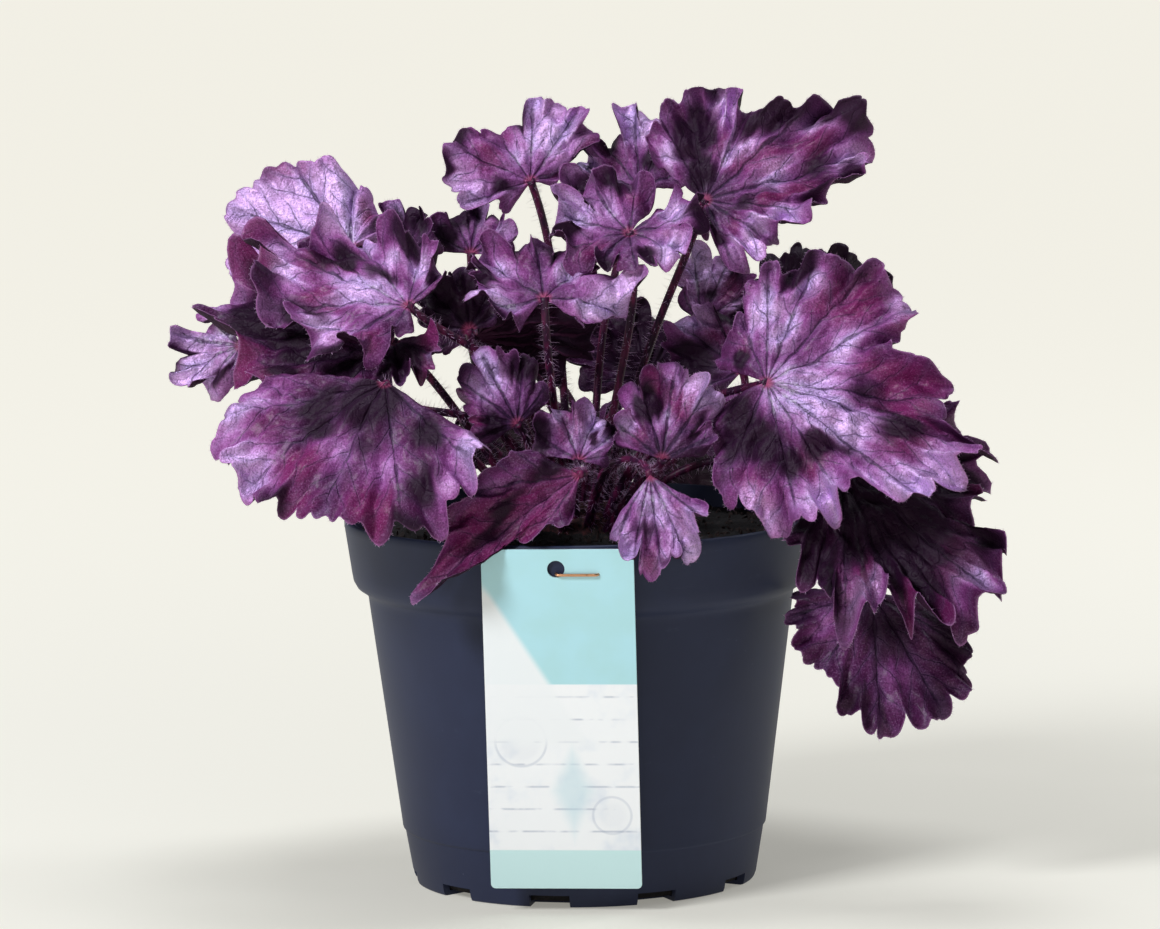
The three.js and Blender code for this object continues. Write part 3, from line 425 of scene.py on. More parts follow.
        lobes=((-66, 12, 2), (-36, 24, 3), (-6, 25, 0), (26, 22, 2), (62, 15, -2)),
        ruffle=1.8, seed=83, site=0, bow=(0, 14, -10), frill=1.1, tone=0.05, notch=0.6,
        silver=((-30, 0.8, 20, 1), (40, 0.6, 16, 0.8)),
        blush=((15, 0.6, 20, 0.9), (-50, 0.7, 14, 0.6)),
        dark=((54, 0.8, 18, 1), (0, 0.93, 12, 0.8), (-12, 0.4, 14, 0.7)),
    ),
    "left_inner": dict(
        base=(-19, -31, 151), along=(-0.72, 0.15, 0.68), face=(-0.1, -0.9, 0.4),
        lobes=((-62, 15, -2), (-32, 16, -2), (-6, 24, -1), (20, 27, -1), (52, 22, 2), (84, 15, -3)),
        ruffle=1.8, seed=89, site=20, frill=1, tone=-0.05,
        silver=((16, 0.7, 22, 0.8),),
        blush=((-40, 0.9, 16, 0.8),),
        dark=((-44, 0.5, 26, 1), (50, 0.8, 16, 0.9), (0, 0.97, 10, 0.7)),
    ),
    "inner_dark": dict(
        base=(-34, -21, 180), along=(-0.25, 0.3, 0.92), face=(0.1, -0.95, 0.3),
        lobes=((-104, 12, -3), (-66, 16, 2), (-28, 20, -2), (8, 20, 0), (42, 15, -2), (76, 10, 0)),
        ruffle=1.8, seed=131, site=17, frill=1, tone=-0.4,
        silver=((-80, 0.9, 12, 0.6),),
        blush=((0, 0.5, 12, 0.9),),
        dark=((-30, 0.85, 40, 1), (40, 0.6, 40, 1), (0, 0.2, 90, 0.9)),
    ),
    "gap_dark": dict(
        base=(23, 28, 159), along=(-0.15, 0.35, 0.92), face=(0.1, -0.9, 0.4),
        lobes=((-90, 22, 2), (-62, 30, -1), (-32, 28, 2), (-4, 24, 1), (24, 20, -1), (52, 14, 2)),
        ruffle=1.8, seed=137, site=21, frill=1.2, tone=-0.3,
        silver=((-16, 0.9, 10, 0.4),),
        blush=((-30, 0.6, 20, 0.4),),
        dark=((0, 0.4, 80, 0.9), (20, 0.9, 30, 0.9), (-50, 0.9, 14, 0.9)),
    ),
    "right_inner": dict(
        base=(52, -20, 166), along=(-0.53, 0.52, 0.67), face=(-0.2, -0.85, 0.5),
        lobes=((-82, 18, -2), (-50, 26, 0), (-18, 28, 2), (10, 24, 1), (36, 17, 3)),
        ruffle=1.6, seed=97, site=2, bow=(0, -11, -10), frill=1.1, tone=-0.05,
        silver=((-10, 0.85, 16, 0.8),),
        blush=((4, 0.6, 20, 0.7),),
        dark=((-44, 0.6, 26, 1), (20, 0.9, 12, 0.8)),
    ),
    "back_right": dict(
        base=(67, 38, 150), along=(0.8, 0.45, -0.35), face=(0.35, 0.25, 0.9),
        lobes=((-125, 26, -5), (-85, 36, -9), (-45, 40, -7), (0, 44, -6), (44, 41, -9), (86, 34, -6),
            (126, 25, -4)),
        ruffle=2.2, seed=101, site=29, frill=0.45, notch=0.22,
        silver=((-60, 0.5, 50, 0.8), (60, 0.5, 50, 0.8)),
        blush=((0, 0.75, 20, 0.6), (90, 0.8, 15, 0.6)),
        dark=((-22, 0.6, 10, 0.7), (66, 0.8, 10, 0.6)),
    ),
    "back_right_low": dict(
        base=(39, 70, 132), along=(0.4, 0.75, -0.5), face=(0.25, 0.5, 0.8),
        lobes=((-120, 24, -4), (-82, 33, -8), (-42, 38, -8), (0, 40, -6), (42, 39, -9), (84, 32, -7),
            (124, 24, -4)),
        ruffle=2.2, seed=103, site=24, frill=0.45, notch=0.22,
        silver=((-40, 0.45, 60, 0.7), (70, 0.5, 30, 0.7)),
        blush=((20, 0.8, 20, 0.7),),
        dark=((20, 0.4, 14, 0.6), (-100, 0.6, 16, 0.8)),
    ),
    "back_middle": dict(
        base=(-7, 82, 140), along=(-0.1, 0.85, -0.5), face=(0, 0.5, 0.85),
        lobes=((-124, 24, -4), (-84, 34, -7), (-43, 39, -9), (0, 42, -6), (43, 38, -7), (84, 33, -9),
            (124, 23, -4)),
        ruffle=2.2, seed=107, site=19, frill=0.45, notch=0.22,
        silver=((0, 0.4, 80, 0.8), (60, 0.8, 15, 0.5)),
        blush=((-30, 0.75, 20, 0.7), (30, 0.85, 12, 0.5)),
        dark=((-62, 0.6, 10, 0.7), (100, 0.6, 20, 0.7)),
    ),
    "back_left_low": dict(
        base=(-55, 62, 136), along=(-0.6, 0.6, -0.5), face=(-0.3, 0.4, 0.85),
        lobes=((-124, 24, -5), (-84, 33, -9), (-43, 38, -7), (0, 41, -7), (43, 39, -8), (84, 31, -7),
            (124, 22, -4)),
        ruffle=2.2, seed=109, site=27, frill=0.45, notch=0.22,
        silver=((10, 0.45, 70, 0.7),),
        blush=((-50, 0.75, 25, 0.7), (60, 0.8, 15, 0.5)),
        dark=((20, 0.8, 10, 0.7), (-104, 0.5, 18, 0.8)),
    ),
    "back_left_outer": dict(
        base=(-85, 34, 152), along=(-0.85, 0.35, -0.35), face=(-0.35, 0.15, 0.9),
        lobes=((-120, 22, -4), (-80, 30, -7), (-40, 34, -6), (0, 36, -6), (40, 34, -7), (80, 29, -7),
            (120, 22, -3)),
        ruffle=2, seed=113, site=22, frill=0.45, notch=0.22,
        silver=((0, 0.45, 70, 0.6),),
        blush=((0, 0.8, 40, 0.4),),
        dark=((60, 0.6, 16, 0.7),),
    ),
    "back_high": dict(
        base=(-15, 50, 174), along=(0.1, 0.85, 0.3), face=(0, -0.3, 0.95),
        lobes=((-122, 22, -3), (-82, 29, -5), (-41, 33, -6), (0, 35, -5), (41, 32, -6), (82, 28, -5),
            (122, 21, -3)),
        ruffle=2.2, seed=127, site=11, frill=0.45, notch=0.22,
        silver=((0, 0.5, 80, 0.8),),
        blush=((40, 0.8, 20, 0.6),),
        dark=((-60, 0.7, 14, 0.7),),
    ),
}


# ------------------------------------------------------------------ node trees

class Signal:
    """A socket that Python's own operators can work on: each one adds its Math node."""

    def __init__(self, graph, socket):
        self.graph = graph
        self.socket = socket

    def math(self, operation, *values):
        return self.graph.node("ShaderNodeMath", {"operation": operation}, dict(enumerate(values)))

    def __add__(self, other):
        return self.math("ADD", self, other)

    def __sub__(self, other):
        return self.math("SUBTRACT", self, other)

    def __rsub__(self, other):
        return self.math("SUBTRACT", other, self)

    def __mul__(self, other):
        return self.math("MULTIPLY", self, other)

    def __truediv__(self, other):
        return self.math("DIVIDE", self, other)

    def __pow__(self, other):
        return self.math("POWER", self, other)

    def __abs__(self):
        return self.math("ABSOLUTE", self)

    def __gt__(self, other):
        return self.math("GREATER_THAN", self, other)

    __radd__ = __add__
    __rmul__ = __mul__

    def fraction(self):
        return self.math("FRACT", self)

    def held(self):
        """The same signal, kept between 0 and 1."""
        return self.math("MINIMUM", self.math("MAXIMUM", self, 0.0), 1.0)

    def rise(self, start, end):
        """0 before start, 1 after end, with a smooth step in between."""
        sockets = {"Value": self, "From Min": start, "From Max": end}
        return self.graph.node("ShaderNodeMapRange", {"interpolation_type": "SMOOTHSTEP"}, sockets)

    def fall(self, start, end):
        """1 before start, 0 after end."""
        return 1 - self.rise(start, end)


class Graph:
    """A node tree with one method that adds a node, sets it up, feeds it and returns an output."""

    def __init__(self, tree):
        self.tree = tree

    def node(self, kind, settings=None, sockets=None, output=0):
        node = self.tree.nodes.new(kind)
        for key, value in (settings or {}).items():
            setattr(node, key, value)
        for key, value in (sockets or {}).items():
            if isinstance(value, Signal):
                self.tree.links.new(value.socket, node.inputs[key])
            else:
                node.inputs[key].default_value = value
        return Signal(self, node.outputs[output] if len(node.outputs) else None)


class Finish(Graph):
    """A material whose shader is built from signals."""

    def __init__(self, name):
        self.material = bpy.data.materials.new(name)
        self.material.use_nodes = True
        super().__init__(self.material.node_tree)
        self.tree.nodes.clear()
        self.place = self.node("ShaderNodeTexCoord", output="Object")

    def attribute(self, name):
        """A number stored on the piece's points."""
        return self.node("ShaderNodeAttribute", {"attribute_name": name}, output="Fac")

    def axis(self, name):
        return self.node("ShaderNodeSeparateXYZ", None, {"Vector": self.place}, name)

    def noise(self, size, detail=2.0, rough=0.5, stretch=None):
        """Soft noise whose blotches are about size millimetres across."""
        where = self.place
        if stretch:
            where = self.node("ShaderNodeVectorMath", {"operation": "MULTIPLY"}, {0: where, 1: stretch})
        sockets = {"Vector": where, "Scale": 1 / (size * MM), "Detail": detail, "Roughness": rough}
        return self.node("ShaderNodeTexNoise", None, sockets, "Fac")

    def cells(self, size, feature="F1"):
        """Distances in Voronoi cells about size millimetres across."""
        sockets = {"Vector": self.place, "Scale": 1 / (size * MM)}
        return self.node("ShaderNodeTexVoronoi", {"feature": feature}, sockets, "Distance")

    def mix(self, start, end, amount):
        return self.node("ShaderNodeMix", {"data_type": "RGBA"}, {0: amount, 6: start, 7: end}, 2)

    def bump(self, height, distance, strength=1.0):
        sockets = {"Height": height, "Distance": distance * MM, "Strength": strength}
        return self.node("ShaderNodeBump", None, sockets, "Normal")

    def done(self, **sockets):
        """Ends the tree in a Principled shader with these sockets, and returns the material."""
        named = {key.replace("_", " "): value for key, value in sockets.items()}
        surface = self.node("ShaderNodeBsdfPrincipled", None, named)
        self.node("ShaderNodeOutputMaterial", None, {"Surface": surface})
        return self.material


class Recipe(Graph):
    """A Geometry Nodes tree with named inputs."""

    def __init__(self, name, inputs):
        super().__init__(bpy.data.node_groups.new(name, "GeometryNodeTree"))
        face = self.tree.interface
        face.new_socket("Geometry", in_out="INPUT", socket_type="NodeSocketGeometry")
        self.identifiers = {}
        for label, kind, default in inputs:
            socket = face.new_socket(label, in_out="INPUT", socket_type="NodeSocket" + kind)
            if default is not None:
                socket.default_value = default
            self.identifiers[label] = socket.identifier
        face.new_socket("Geometry", in_out="OUTPUT", socket_type="NodeSocketGeometry")
        self.group = self.tree.nodes.new("NodeGroupInput")

    def given(self, label):
        return Signal(self, self.group.outputs[label])

    def random(self, low, high, seed):
        """A random vector for each point."""
        settings = {"data_type": "FLOAT_VECTOR"}
        return self.node("FunctionNodeRandomValue", settings, {0: low, 1: high, "Seed": seed})

    def spread(self, **sockets):
        """Points over the faces of the given mesh, and their normals."""
        sockets.update(Mesh=self.given("Geometry"), Density=self.given("Density"), Seed=self.given("Seed"))
        kind = "GeometryNodeDistributePointsOnFaces"
        points = self.node(kind, {"distribute_method": "RANDOM"}, sockets, "Points")
        return points, Signal(self, points.socket.node.outputs["Normal"])

    def ends(self, points, thing, turn, size):
        """Sets the thing on every point, made real, as the recipe's result."""
        sockets = {"Points": points, "Instance": thing, "Rotation": turn, "Scale": size}
        made = self.node("GeometryNodeInstanceOnPoints", None, sockets)
        real = self.node("GeometryNodeRealizeInstances", None, {"Geometry": made})
        sockets = {"Geometry": real, "Material": self.given("Finish")}
        dressed = self.node("GeometryNodeSetMaterial", None, sockets)
        self.node("NodeGroupOutput", None, {"Geometry": dressed})

    def grow(self, source, name, **values):
        """A plain mesh object that holds what the recipe makes from the source object."""
        modifier = source.modifiers.new("recipe", "NODES")
        modifier.node_group = self.tree
        for label, value in values.items():
            modifier[self.identifiers[label]] = value
        mesh = evaluated(source)
        source.modifiers.remove(modifier)
        mesh.name = name
        return shown(name, mesh)


# ------------------------------------------------------------------ mesh helpers

def rgb(red, green, blue):
    """A colour given as screen values from 0 to 255, as the linear values that a shader takes."""
    def linear(value):
        share = value / 255
        return share / 12.92 if share <= 0.04045 else ((share + 0.055) / 1.055) ** 2.4
    return (linear(red), linear(green), linear(blue), 1.0)


def shown(name, data):
    """An object with this data, put into the scene."""
    piece = bpy.data.objects.new(name, data)
    bpy.context.scene.collection.objects.link(piece)
    return piece


def evaluated(piece):
    """A plain mesh of the piece with its modifiers at work."""
    graph = bpy.context.evaluated_depsgraph_get()
    return bpy.data.meshes.new_from_object(piece.evaluated_get(graph), depsgraph=graph)


def mesh_from(name, points, faces, material=None, smooth=True):
    """A mesh object from points in millimetres."""
    mesh = bpy.data.meshes.new(name)
    mesh.from_pydata([tuple(p) for p in np.asarray(points, float) * MM], [], faces)
    if smooth:
        mesh.shade_smooth()
    if material:
        mesh.materials.append(material)
    mesh.validate()
    return shown(name, mesh)


def seat(piece, node=None):
    """Fixes a finished piece to the plant's one body, in place of the node that it stands for."""
    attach(piece, "root")
    if node:
        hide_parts(node)


def grid_faces(rows, columns, start=0, closed=False, flip=False):
    """Quads of a grid of points numbered row by row, and across its seam if it is closed."""
    faces = []
    for r in range(rows - 1):
        for c in range(columns if closed else columns - 1):
            after = (c + 1) % columns
            low = start + r * columns
            high = low + columns
            quad = (low + c, low + after, high + after, high + c)
            faces.append(quad[::-1] if flip else quad)
    return faces


def ring(angles, radius, height):
    """Points round Z at these angles. Radius and height are numbers, or one for each angle."""
    points = np.broadcast_arrays(radius * np.cos(angles), radius * np.sin(angles), height)
    return np.stack(points, axis=1)


def stacked(rings, first_height, last_height):
    """Points and faces of rings joined in order and closed on the axis at both ends."""
    sides = len(rings[0])
    points = np.concatenate([*rings, [(0, 0, last_height), (0, 0, first_height)]])
    faces = grid_faces(len(rings), sides, closed=True)
    last_ring = (len(rings) - 1) * sides
    last = len(points) - 2
    for c in range(sides):
        after = (c + 1) % sides
        faces.append((last_ring + c, last_ring + after, last))
        faces.append((after, c, last + 1))
    return points, faces


def round_angles(sides):
    return 2 * np.pi * np.arange(sides) / sides


def tube(path, radii, sides, first=0):
    """Points and faces of a closed round tube along a path, with a radius for each point."""
    path = np.asarray(path, float)
    ahead = np.gradient(path, axis=0)
    ahead /= np.linalg.norm(ahead, axis=1, keepdims=True)
    side = np.cross(ahead[0], (0.13, 0.31, 0.94))
    points = []
    for centre, direction, radius in zip(path, ahead, radii):
        side = side - direction * side.dot(direction)
        side /= np.linalg.norm(side)
        up = np.cross(direction, side)
        for i in range(sides):
            a = 2 * math.pi * i / sides
            points.append(centre + radius * (math.cos(a) * side + math.sin(a) * up))
    faces = grid_faces(len(path), sides, start=first, closed=True)
    foot = len(points) + first
    points += [path[0], path[-1]]
    last = first + (len(path) - 1) * sides
    for i in range(sides):
        faces.append((first + (i + 1) % sides, first + i, foot))
        faces.append((last + i, last + (i + 1) % sides, foot + 1))
    return points, faces


def bezier(corners, steps):
    """Points along a cubic Bezier curve."""
    t = np.linspace(0, 1, steps + 1)[:, None]
    a, b, c, d = (np.asarray(p, float) for p in corners)
    return (1 - t) ** 3 * a + 3 * (1 - t) ** 2 * t * b + 3 * (1 - t) * t ** 2 * c + t ** 3 * d


# ------------------------------------------------------------------ leaf surface

def draw(seed, counter):
    """The same draw, from 0 to 1, every time for a seed and a counter."""
    x = math.sin(seed * 12.9898 + counter * 78.233) * 43758.5453
    return x - math.floor(x)


def unit(vector):
    vector = np.asarray(vector, float)
    return vector / np.linalg.norm(vector)


def step(x):
    """0 below 0, 1 above 1, and smooth in between."""
    x = np.clip(x, 0, 1)
    return x * x * (3 - 2 * x)


def blend(values, place, smooth=True, flat=0.0):
    """A value for each lobe, blended in between. Lobe i is centred at i + 0.5."""
    values = np.asarray(values, float)
    x = place - 0.5
    i = np.clip(np.floor(x).astype(int), 0, len(values) - 2)
    share = x - i
    if smooth:
        share = step((share - flat) / (1 - 2 * flat))
    return values[i] + (values[i + 1] - values[i]) * share


def boxed(points):
    """The points, pressed together softly where they come near the construction model's box."""
    low, high = (np.array(corner) / MM for corner in CAD_BOX)
    for edge, way in ((high, 1), (low, -1)):
        start = way * edge - BOX_ROOM - BOX_SOFTNESS
        over = way * points - start
        pressed = start + BOX_SOFTNESS * np.tanh(over / BOX_SOFTNESS)
        points = np.where(over > 0, way * pressed, points)
    return points


class Leaf:
    """One leaf of the table, as numpy arrays over a grid of places along the margin and rings."""

    def __init__(self, name, facts):
        self.name = name
        self.facts = facts
        lobes = np.array(facts["lobes"], float)
        self.aims, self.reaches, self.lifts = lobes.T
        self.count = len(lobes)
        self.y = unit(facts["along"])
        face = np.array(facts["face"], float)
        self.z = unit(face - self.y * face.dot(self.y))
        self.x = np.cross(self.y, self.z)
        self.base = np.array(facts["base"], float)
        self.seed = facts["seed"]
        self.place = np.linspace(0, self.count, self.count * COLUMNS_PER_LOBE + 1)
        self.out = np.linspace(0, 1, RINGS + 1)[1:] ** 0.85
        self.lobe = np.minimum(self.count - 1, np.floor(self.place)).astype(int)
        self.across = self.place - self.lobe - 0.5
        self.find_margin()

    def find_margin(self):
        """Direction, reach and lift along the margin, and the width of a lobe there."""
        other = np.where(self.across < 0, self.lobe - 1, self.lobe + 1)
        near = np.clip(other, 0, self.count - 1)
        apart = np.abs(self.aims[near] - self.aims[self.lobe])
        spacing = np.where(other == near, apart, NOTCH_SPACING)
        notch = NOTCH * np.minimum(1, spacing / NOTCH_SPACING) * self.drawn(0.7, 0.7, 30)
        notch = notch * self.facts.get("notch", NOTCH_SHARE)
        round_off = np.sqrt(np.maximum(0, 1 - (2 * self.across) ** 2))
        self.degrees = blend(self.aims, self.place, smooth=False)
        self.aim = np.radians(self.degrees)
        self.lift = blend(self.lifts, self.place)
        whole = blend(self.reaches, self.place, flat=0.16)
        width = np.abs(np.gradient(self.aim, self.place)) * whole
        self.width = np.minimum(width, 30)
        phase = self.across + 0.5 + 0.05 * np.sin(7.3 * self.place + self.seed)
        tooth = np.abs(np.sin(np.pi * TEETH_PER_LOBE * phase)) ** 0.7 - 1
        depth = TOOTH_DEPTH * self.width / TEETH_PER_LOBE / whole * self.drawn(0.5, 1, 50)
        self.end = np.maximum(step(0.8 - self.place), step(self.place - self.count + 0.8))
        self.reach = whole * (1 - notch * (1 - round_off) + depth * tooth - 0.12 * self.end ** 2)

    def drawn(self, least, more, counter):
        """A number drawn for each lobe, from least to least + more, blended along the margin."""
        numbers = [least + more * draw(self.seed, counter + i) for i in range(self.count)]
        return blend(numbers, self.place)

    def waves(self):
        """Height of the margin's slow waves, as in the construction model."""
        turn = 2 * math.pi * draw(self.seed, 1)
        slow = np.sin(2 * np.pi * self.place + turn)
        quick = np.sin(3 * np.pi * self.place + 2 * turn)
        return 0.8 * slow + 0.6 * self.drawn(0.7, 0.6, 2) * quick

    def curl(self):
        """How far the margin curls up, in radians, sways sideways, in millimetres, and draws in."""
        frill = self.facts["frill"]
        turn = 2 * math.pi * draw(self.seed, 12)
        steps = RUFFLE_SPACING / np.maximum(self.width, 6)
        run = np.cumsum(1 / np.maximum(steps, 0.4)) * (self.place[1] - self.place[0])
        phase = 2 * np.pi * run * SLOW_CURLS + turn
        long_wave = np.tanh(1.6 * np.sin(phase)) / math.tanh(1.6)
        sway = -FOLD * min(frill, 1.3) * np.sin(2 * phase)
        pinch = PINCH * min(frill, 1.2) * (np.cos(phase) ** 4 - 0.375)
        drift = 2.1 * turn + 0.8 * np.sin(2 * np.pi * run * 0.4)
        short_wave = np.sin(2 * np.pi * run * QUICK_CURLS + drift)
        bend = 0.2 * frill + frill * (1.05 * long_wave + 0.45 * short_wave)
        bend = STEEPEST_CURL * np.tanh(bend / STEEPEST_CURL)
        for aim, width, angle in self.facts.get("curls", ()):
            share = np.exp(-((self.degrees - aim) / width) ** 2)
            bend = bend * (1 - share) + angle * share
            sway = sway * (1 - share)
            pinch = pinch * (1 - share)
        return bend, sway * (1 - self.end), pinch * (1 - self.end)

    def to_ribs(self, angle, reach):
        """Distance from the nearest main vein, way along it, side, share of the gap, and gap."""
        ribs = np.array(self.facts.get("ribs", self.aims), float)
        apart = angle[..., None] - ribs
        nearest = np.abs(apart).argmin(axis=-1)
        off = np.take_along_axis(apart, nearest[..., None], axis=-1)[..., 0]
        beside = np.clip(nearest + np.where(off > 0, 1, -1), 0, len(ribs) - 1)
        gap = np.where(beside == nearest, 24, np.abs(ribs[beside] - ribs[nearest]) / 2)
        share = np.minimum(np.abs(off) / gap, 1)
        distance = reach * np.sin(np.radians(np.minimum(np.abs(off), 80)))
        return distance, reach * np.cos(np.radians(off)), off > 0, share, reach * np.radians(gap)

    def crumple(self, x, y):
        """Leathery unevenness, from broad to fine."""
        s = self.seed
        warp = 2.2 * np.sin(0.21 * y + s) + 1.4 * np.sin(0.43 * x + 2 * s)
        broad = np.sin(0.33 * x + 0.2 * y + warp) * np.sin(0.29 * y - 0.12 * x + s)
        middle = np.sin(0.83 * x - 0.4 * y + 1.3 * warp) * np.sin(0.77 * y + 0.31 * x - warp)
        fine = np.sin(1.9 * x + 0.8 * y + warp) * np.sin(1.7 * y - 0.9 * x + 2 * warp)
        slow = np.sin(0.15 * x + 0.1 * y + 2.7 * s) * np.sin(0.13 * y - 0.06 * x + 1.7 * s)
        return 1.6 * slow + 1.15 * broad + 0.42 * middle + 0.14 * fine

    def surface(self):
        """Points of the middle surface, ring by ring, with the facts that the finish reads."""
        out = self.out[:, None]
        flat = out * self.reach
        bend, sway, pinch = self.curl()
        sway = np.degrees(sway / np.maximum(self.reach, 14)) * step((out - 0.5) / 0.5)
        angle = self.degrees + 3 * np.sin(1.9 * self.place + self.seed) * out * (out - 0.35)
        distance, along, side, share, gap = self.to_ribs(angle, flat)
        bend = bend * step((out - CURL_START) / (1.02 - CURL_START)) ** 1.3
        rise = np.diff(np.vstack([np.zeros_like(self.reach), flat]), axis=0)
        inward = np.cumsum(np.cos(bend) * rise, axis=0)
        raised = np.cumsum(np.sin(bend) * rise, axis=0)
        needed = np.minimum(self.reach / inward.max(axis=0), LONGEST_STRETCH)
        spread = np.convolve(np.pad(needed, 2, mode="edge"), np.ones(5) / 5, mode="valid")
        stretch = np.minimum(needed, spread)
        reach = inward * stretch * (1 - pinch * step((out - 0.45) / 0.55))
        puff = PUFF * gap * step(share) * (1 - 0.75 * out)
        rib = GROOVE * np.exp(-(distance / 1.1) ** 2) * (1 - 0.7 * out)
        edge = np.clip((out - 0.6) / 0.4, 0, 1) ** 2
        ripple = self.facts["frill"] * edge * np.minimum(1.1, 0.07 * self.width)
        ripple = ripple * np.sin(2 * np.pi * 2.1 * self.place + 3 * draw(self.seed, 22) + 2.5 * out)
        height = self.lift * out ** LIFT_POWER + self.facts["ruffle"] * self.waves() * out ** 2.5
        height = height + raised + puff - rib + ripple - FUNNEL * np.exp(-(flat / 4) ** 2)
        turn = np.radians(angle + sway)
        x = reach * np.sin(turn)
        y = reach * np.cos(turn)
        grown = np.clip(flat / 12, 0, 1)
        height = height + self.facts.get("crumple", 1.0) * grown * self.crumple(x, y)
        height = height - TUCK * flat * self.end ** 2
        points = self.base + x[..., None] * self.x + y[..., None] * self.y + height[..., None] * self.z
        points = boxed(points)
        facts = {
            "place": np.broadcast_to(self.place, reach.shape),
            "out": np.broadcast_to(out, reach.shape),
            "to_rib": distance,
            "side": side.astype(float),
            "along": along,
        }
        for kind in ("silver", "blush", "dark"):
            facts[kind] = self.patches(kind, out)
        return points, facts

    def patches(self, kind, out):
        """The strongest of the leaf's patches of one kind at each point: of bloom and painted sheen, of
        magenta and painted glow, and of painted shade.
        """
        ground = self.facts.get("tone", 0) if kind == "silver" else 0
        total = np.full((len(self.out), len(self.place)), float(ground))
        for aim, middle, width, strength in self.facts.get(kind, ()):
            sideways = np.radians(self.degrees - aim) * out
            size = max(1.3 * math.radians(width) * middle, SMALLEST_PATCH)
            share = np.exp(-(sideways ** 2 + (out - middle) ** 2) / size ** 2)
            total = np.maximum(total, strength * share + ground * (1 - share))
        return total

    def blade(self):
        """The closed blade: points, faces and the facts for each point."""
        middle, facts = self.surface()
        around = np.gradient(middle, axis=1)
        outward = np.gradient(middle, axis=0)
        normal = np.cross(around, outward)
        normal /= np.maximum(np.linalg.norm(normal, axis=2, keepdims=True), 1e-9)
        half = BLADE_THICKNESS / 2 * (1 - 0.6 * step((facts["out"] - 0.8) / 0.2))[..., None]
        ridge = RIDGE * np.exp(-(facts["to_rib"] / 0.75) ** 2) * (1 - facts["out"]) ** 0.6
        top = middle + half * normal
        under = middle - (half + ridge[..., None]) * normal
        rows, columns = middle.shape[:2]
        size = rows * columns
        points = np.concatenate([
            top.reshape(-1, 3), under.reshape(-1, 3),
            [self.base + (0.25 - FUNNEL) * self.z, self.base - (0.85 + FUNNEL) * self.z],
        ])
        faces = grid_faces(rows, columns)
        faces += grid_faces(rows, columns, start=size, flip=True)
        hub_top, hub_under = 2 * size, 2 * size + 1
        for c in range(columns - 1):
            faces.append((hub_top, c + 1, c))
            faces.append((hub_under, size + c, size + c + 1))
        rim = [(rows - 1) * columns + c for c in range(columns)]
        start = [r * columns for r in range(rows)]
        end = [r * columns + columns - 1 for r in range(rows)]
        outline = [hub_top, *start, *rim[1:-1], *end[::-1]]
        below = [hub_under, *(size + i for i in outline[1:])]
        for i in range(len(outline)):
            j = (i + 1) % len(outline)
            faces.append((outline[i], outline[j], below[j], below[i]))
        values = {key: np.concatenate([*v, *v, [0, 0]]) for key, v in facts.items()}
        values["under"] = np.concatenate([np.zeros(size), np.ones(size), [0, 1]])
        return points, faces, values

    def stalk_path(self):
        """The stalk's middle line, from its place in the crown's spiral to the blade."""
        radius = STALK_SPACING * math.sqrt(self.facts["site"] + 0.5)
        azimuth = math.radians(self.facts["site"] * GOLDEN_ANGLE)
        share = radius / CROWN_RADIUS
        around = np.array([math.cos(azimuth), math.sin(azimuth), 0])
        foot = radius * around + (0, 0, CROWN_TOP_Z - CROWN_DOME_HEIGHT * share ** 2.4)
        tilt = math.radians(CROWN_TILT) * share ** 1.5
        leaving = math.sin(tilt) * around + (0, 0, math.cos(tilt))
        span = np.linalg.norm(self.base - foot)
        arriving = unit(0.55 * self.y + 0.75 * self.z)
        bow = np.array(self.facts.get("bow", (0, 0, 0)), float)
        corners = (
            foot - STALK_SOCKET_DEPTH * leaving,
            foot + STALK_RISE * span * leaving,
            self.base - STALK_ARRIVAL * span * arriving + bow,
            self.base - (FUNNEL - 0.2) * self.z,
        )
        return bezier(corners, STALK_STEPS)

    def stalk(self, first=0):
        """The hairy stalk, wider where it sheathes the crown and where it joins the blade."""
        path = self.stalk_path()
        t = np.linspace(0, 1, len(path))
        radii = 0.97 + STALK_SHEATH * np.exp(-12 * t) + STALK_COLLAR * np.exp(-40 * (1 - t))
        return tube(path, STALK_RADIUS * radii, STALK_SIDES, first)


def set_facts(mesh, values):
    """Stores a number for each point under each name, for the finish to read."""
    for key, numbers in values.items():
        layer = mesh.attributes.new(key, "FLOAT", "POINT")
        layer.data.foreach_set("value", np.asarray(numbers, np.float32))


# ------------------------------------------------------------------ finishes

# Near-black plum, also the colour of painted shade.
PLUM_DARK = rgb(34, 10, 34)
PLUM = rgb(84, 28, 78)
PINK = rgb(162, 82, 160)
# Lilac of the bloom, also the colour of painted sheen and glints.
SILVER = rgb(228, 186, 242)
# Magenta of the leaf, also the colour of a painted glow of light through the blade.
MAGENTA = rgb(124, 28, 92)
VEIN = rgb(32, 18, 48)
VEIN_MIST = rgb(154, 136, 190)
STREAK = rgb(222, 208, 232)
UNDER = rgb(44, 12, 40)
UNDER_VEIN = rgb(98, 46, 82)
HUB = rgb(176, 76, 118)
# Pale margin, also the colour of a painted rim highlight.
EDGE = rgb(186, 126, 186)


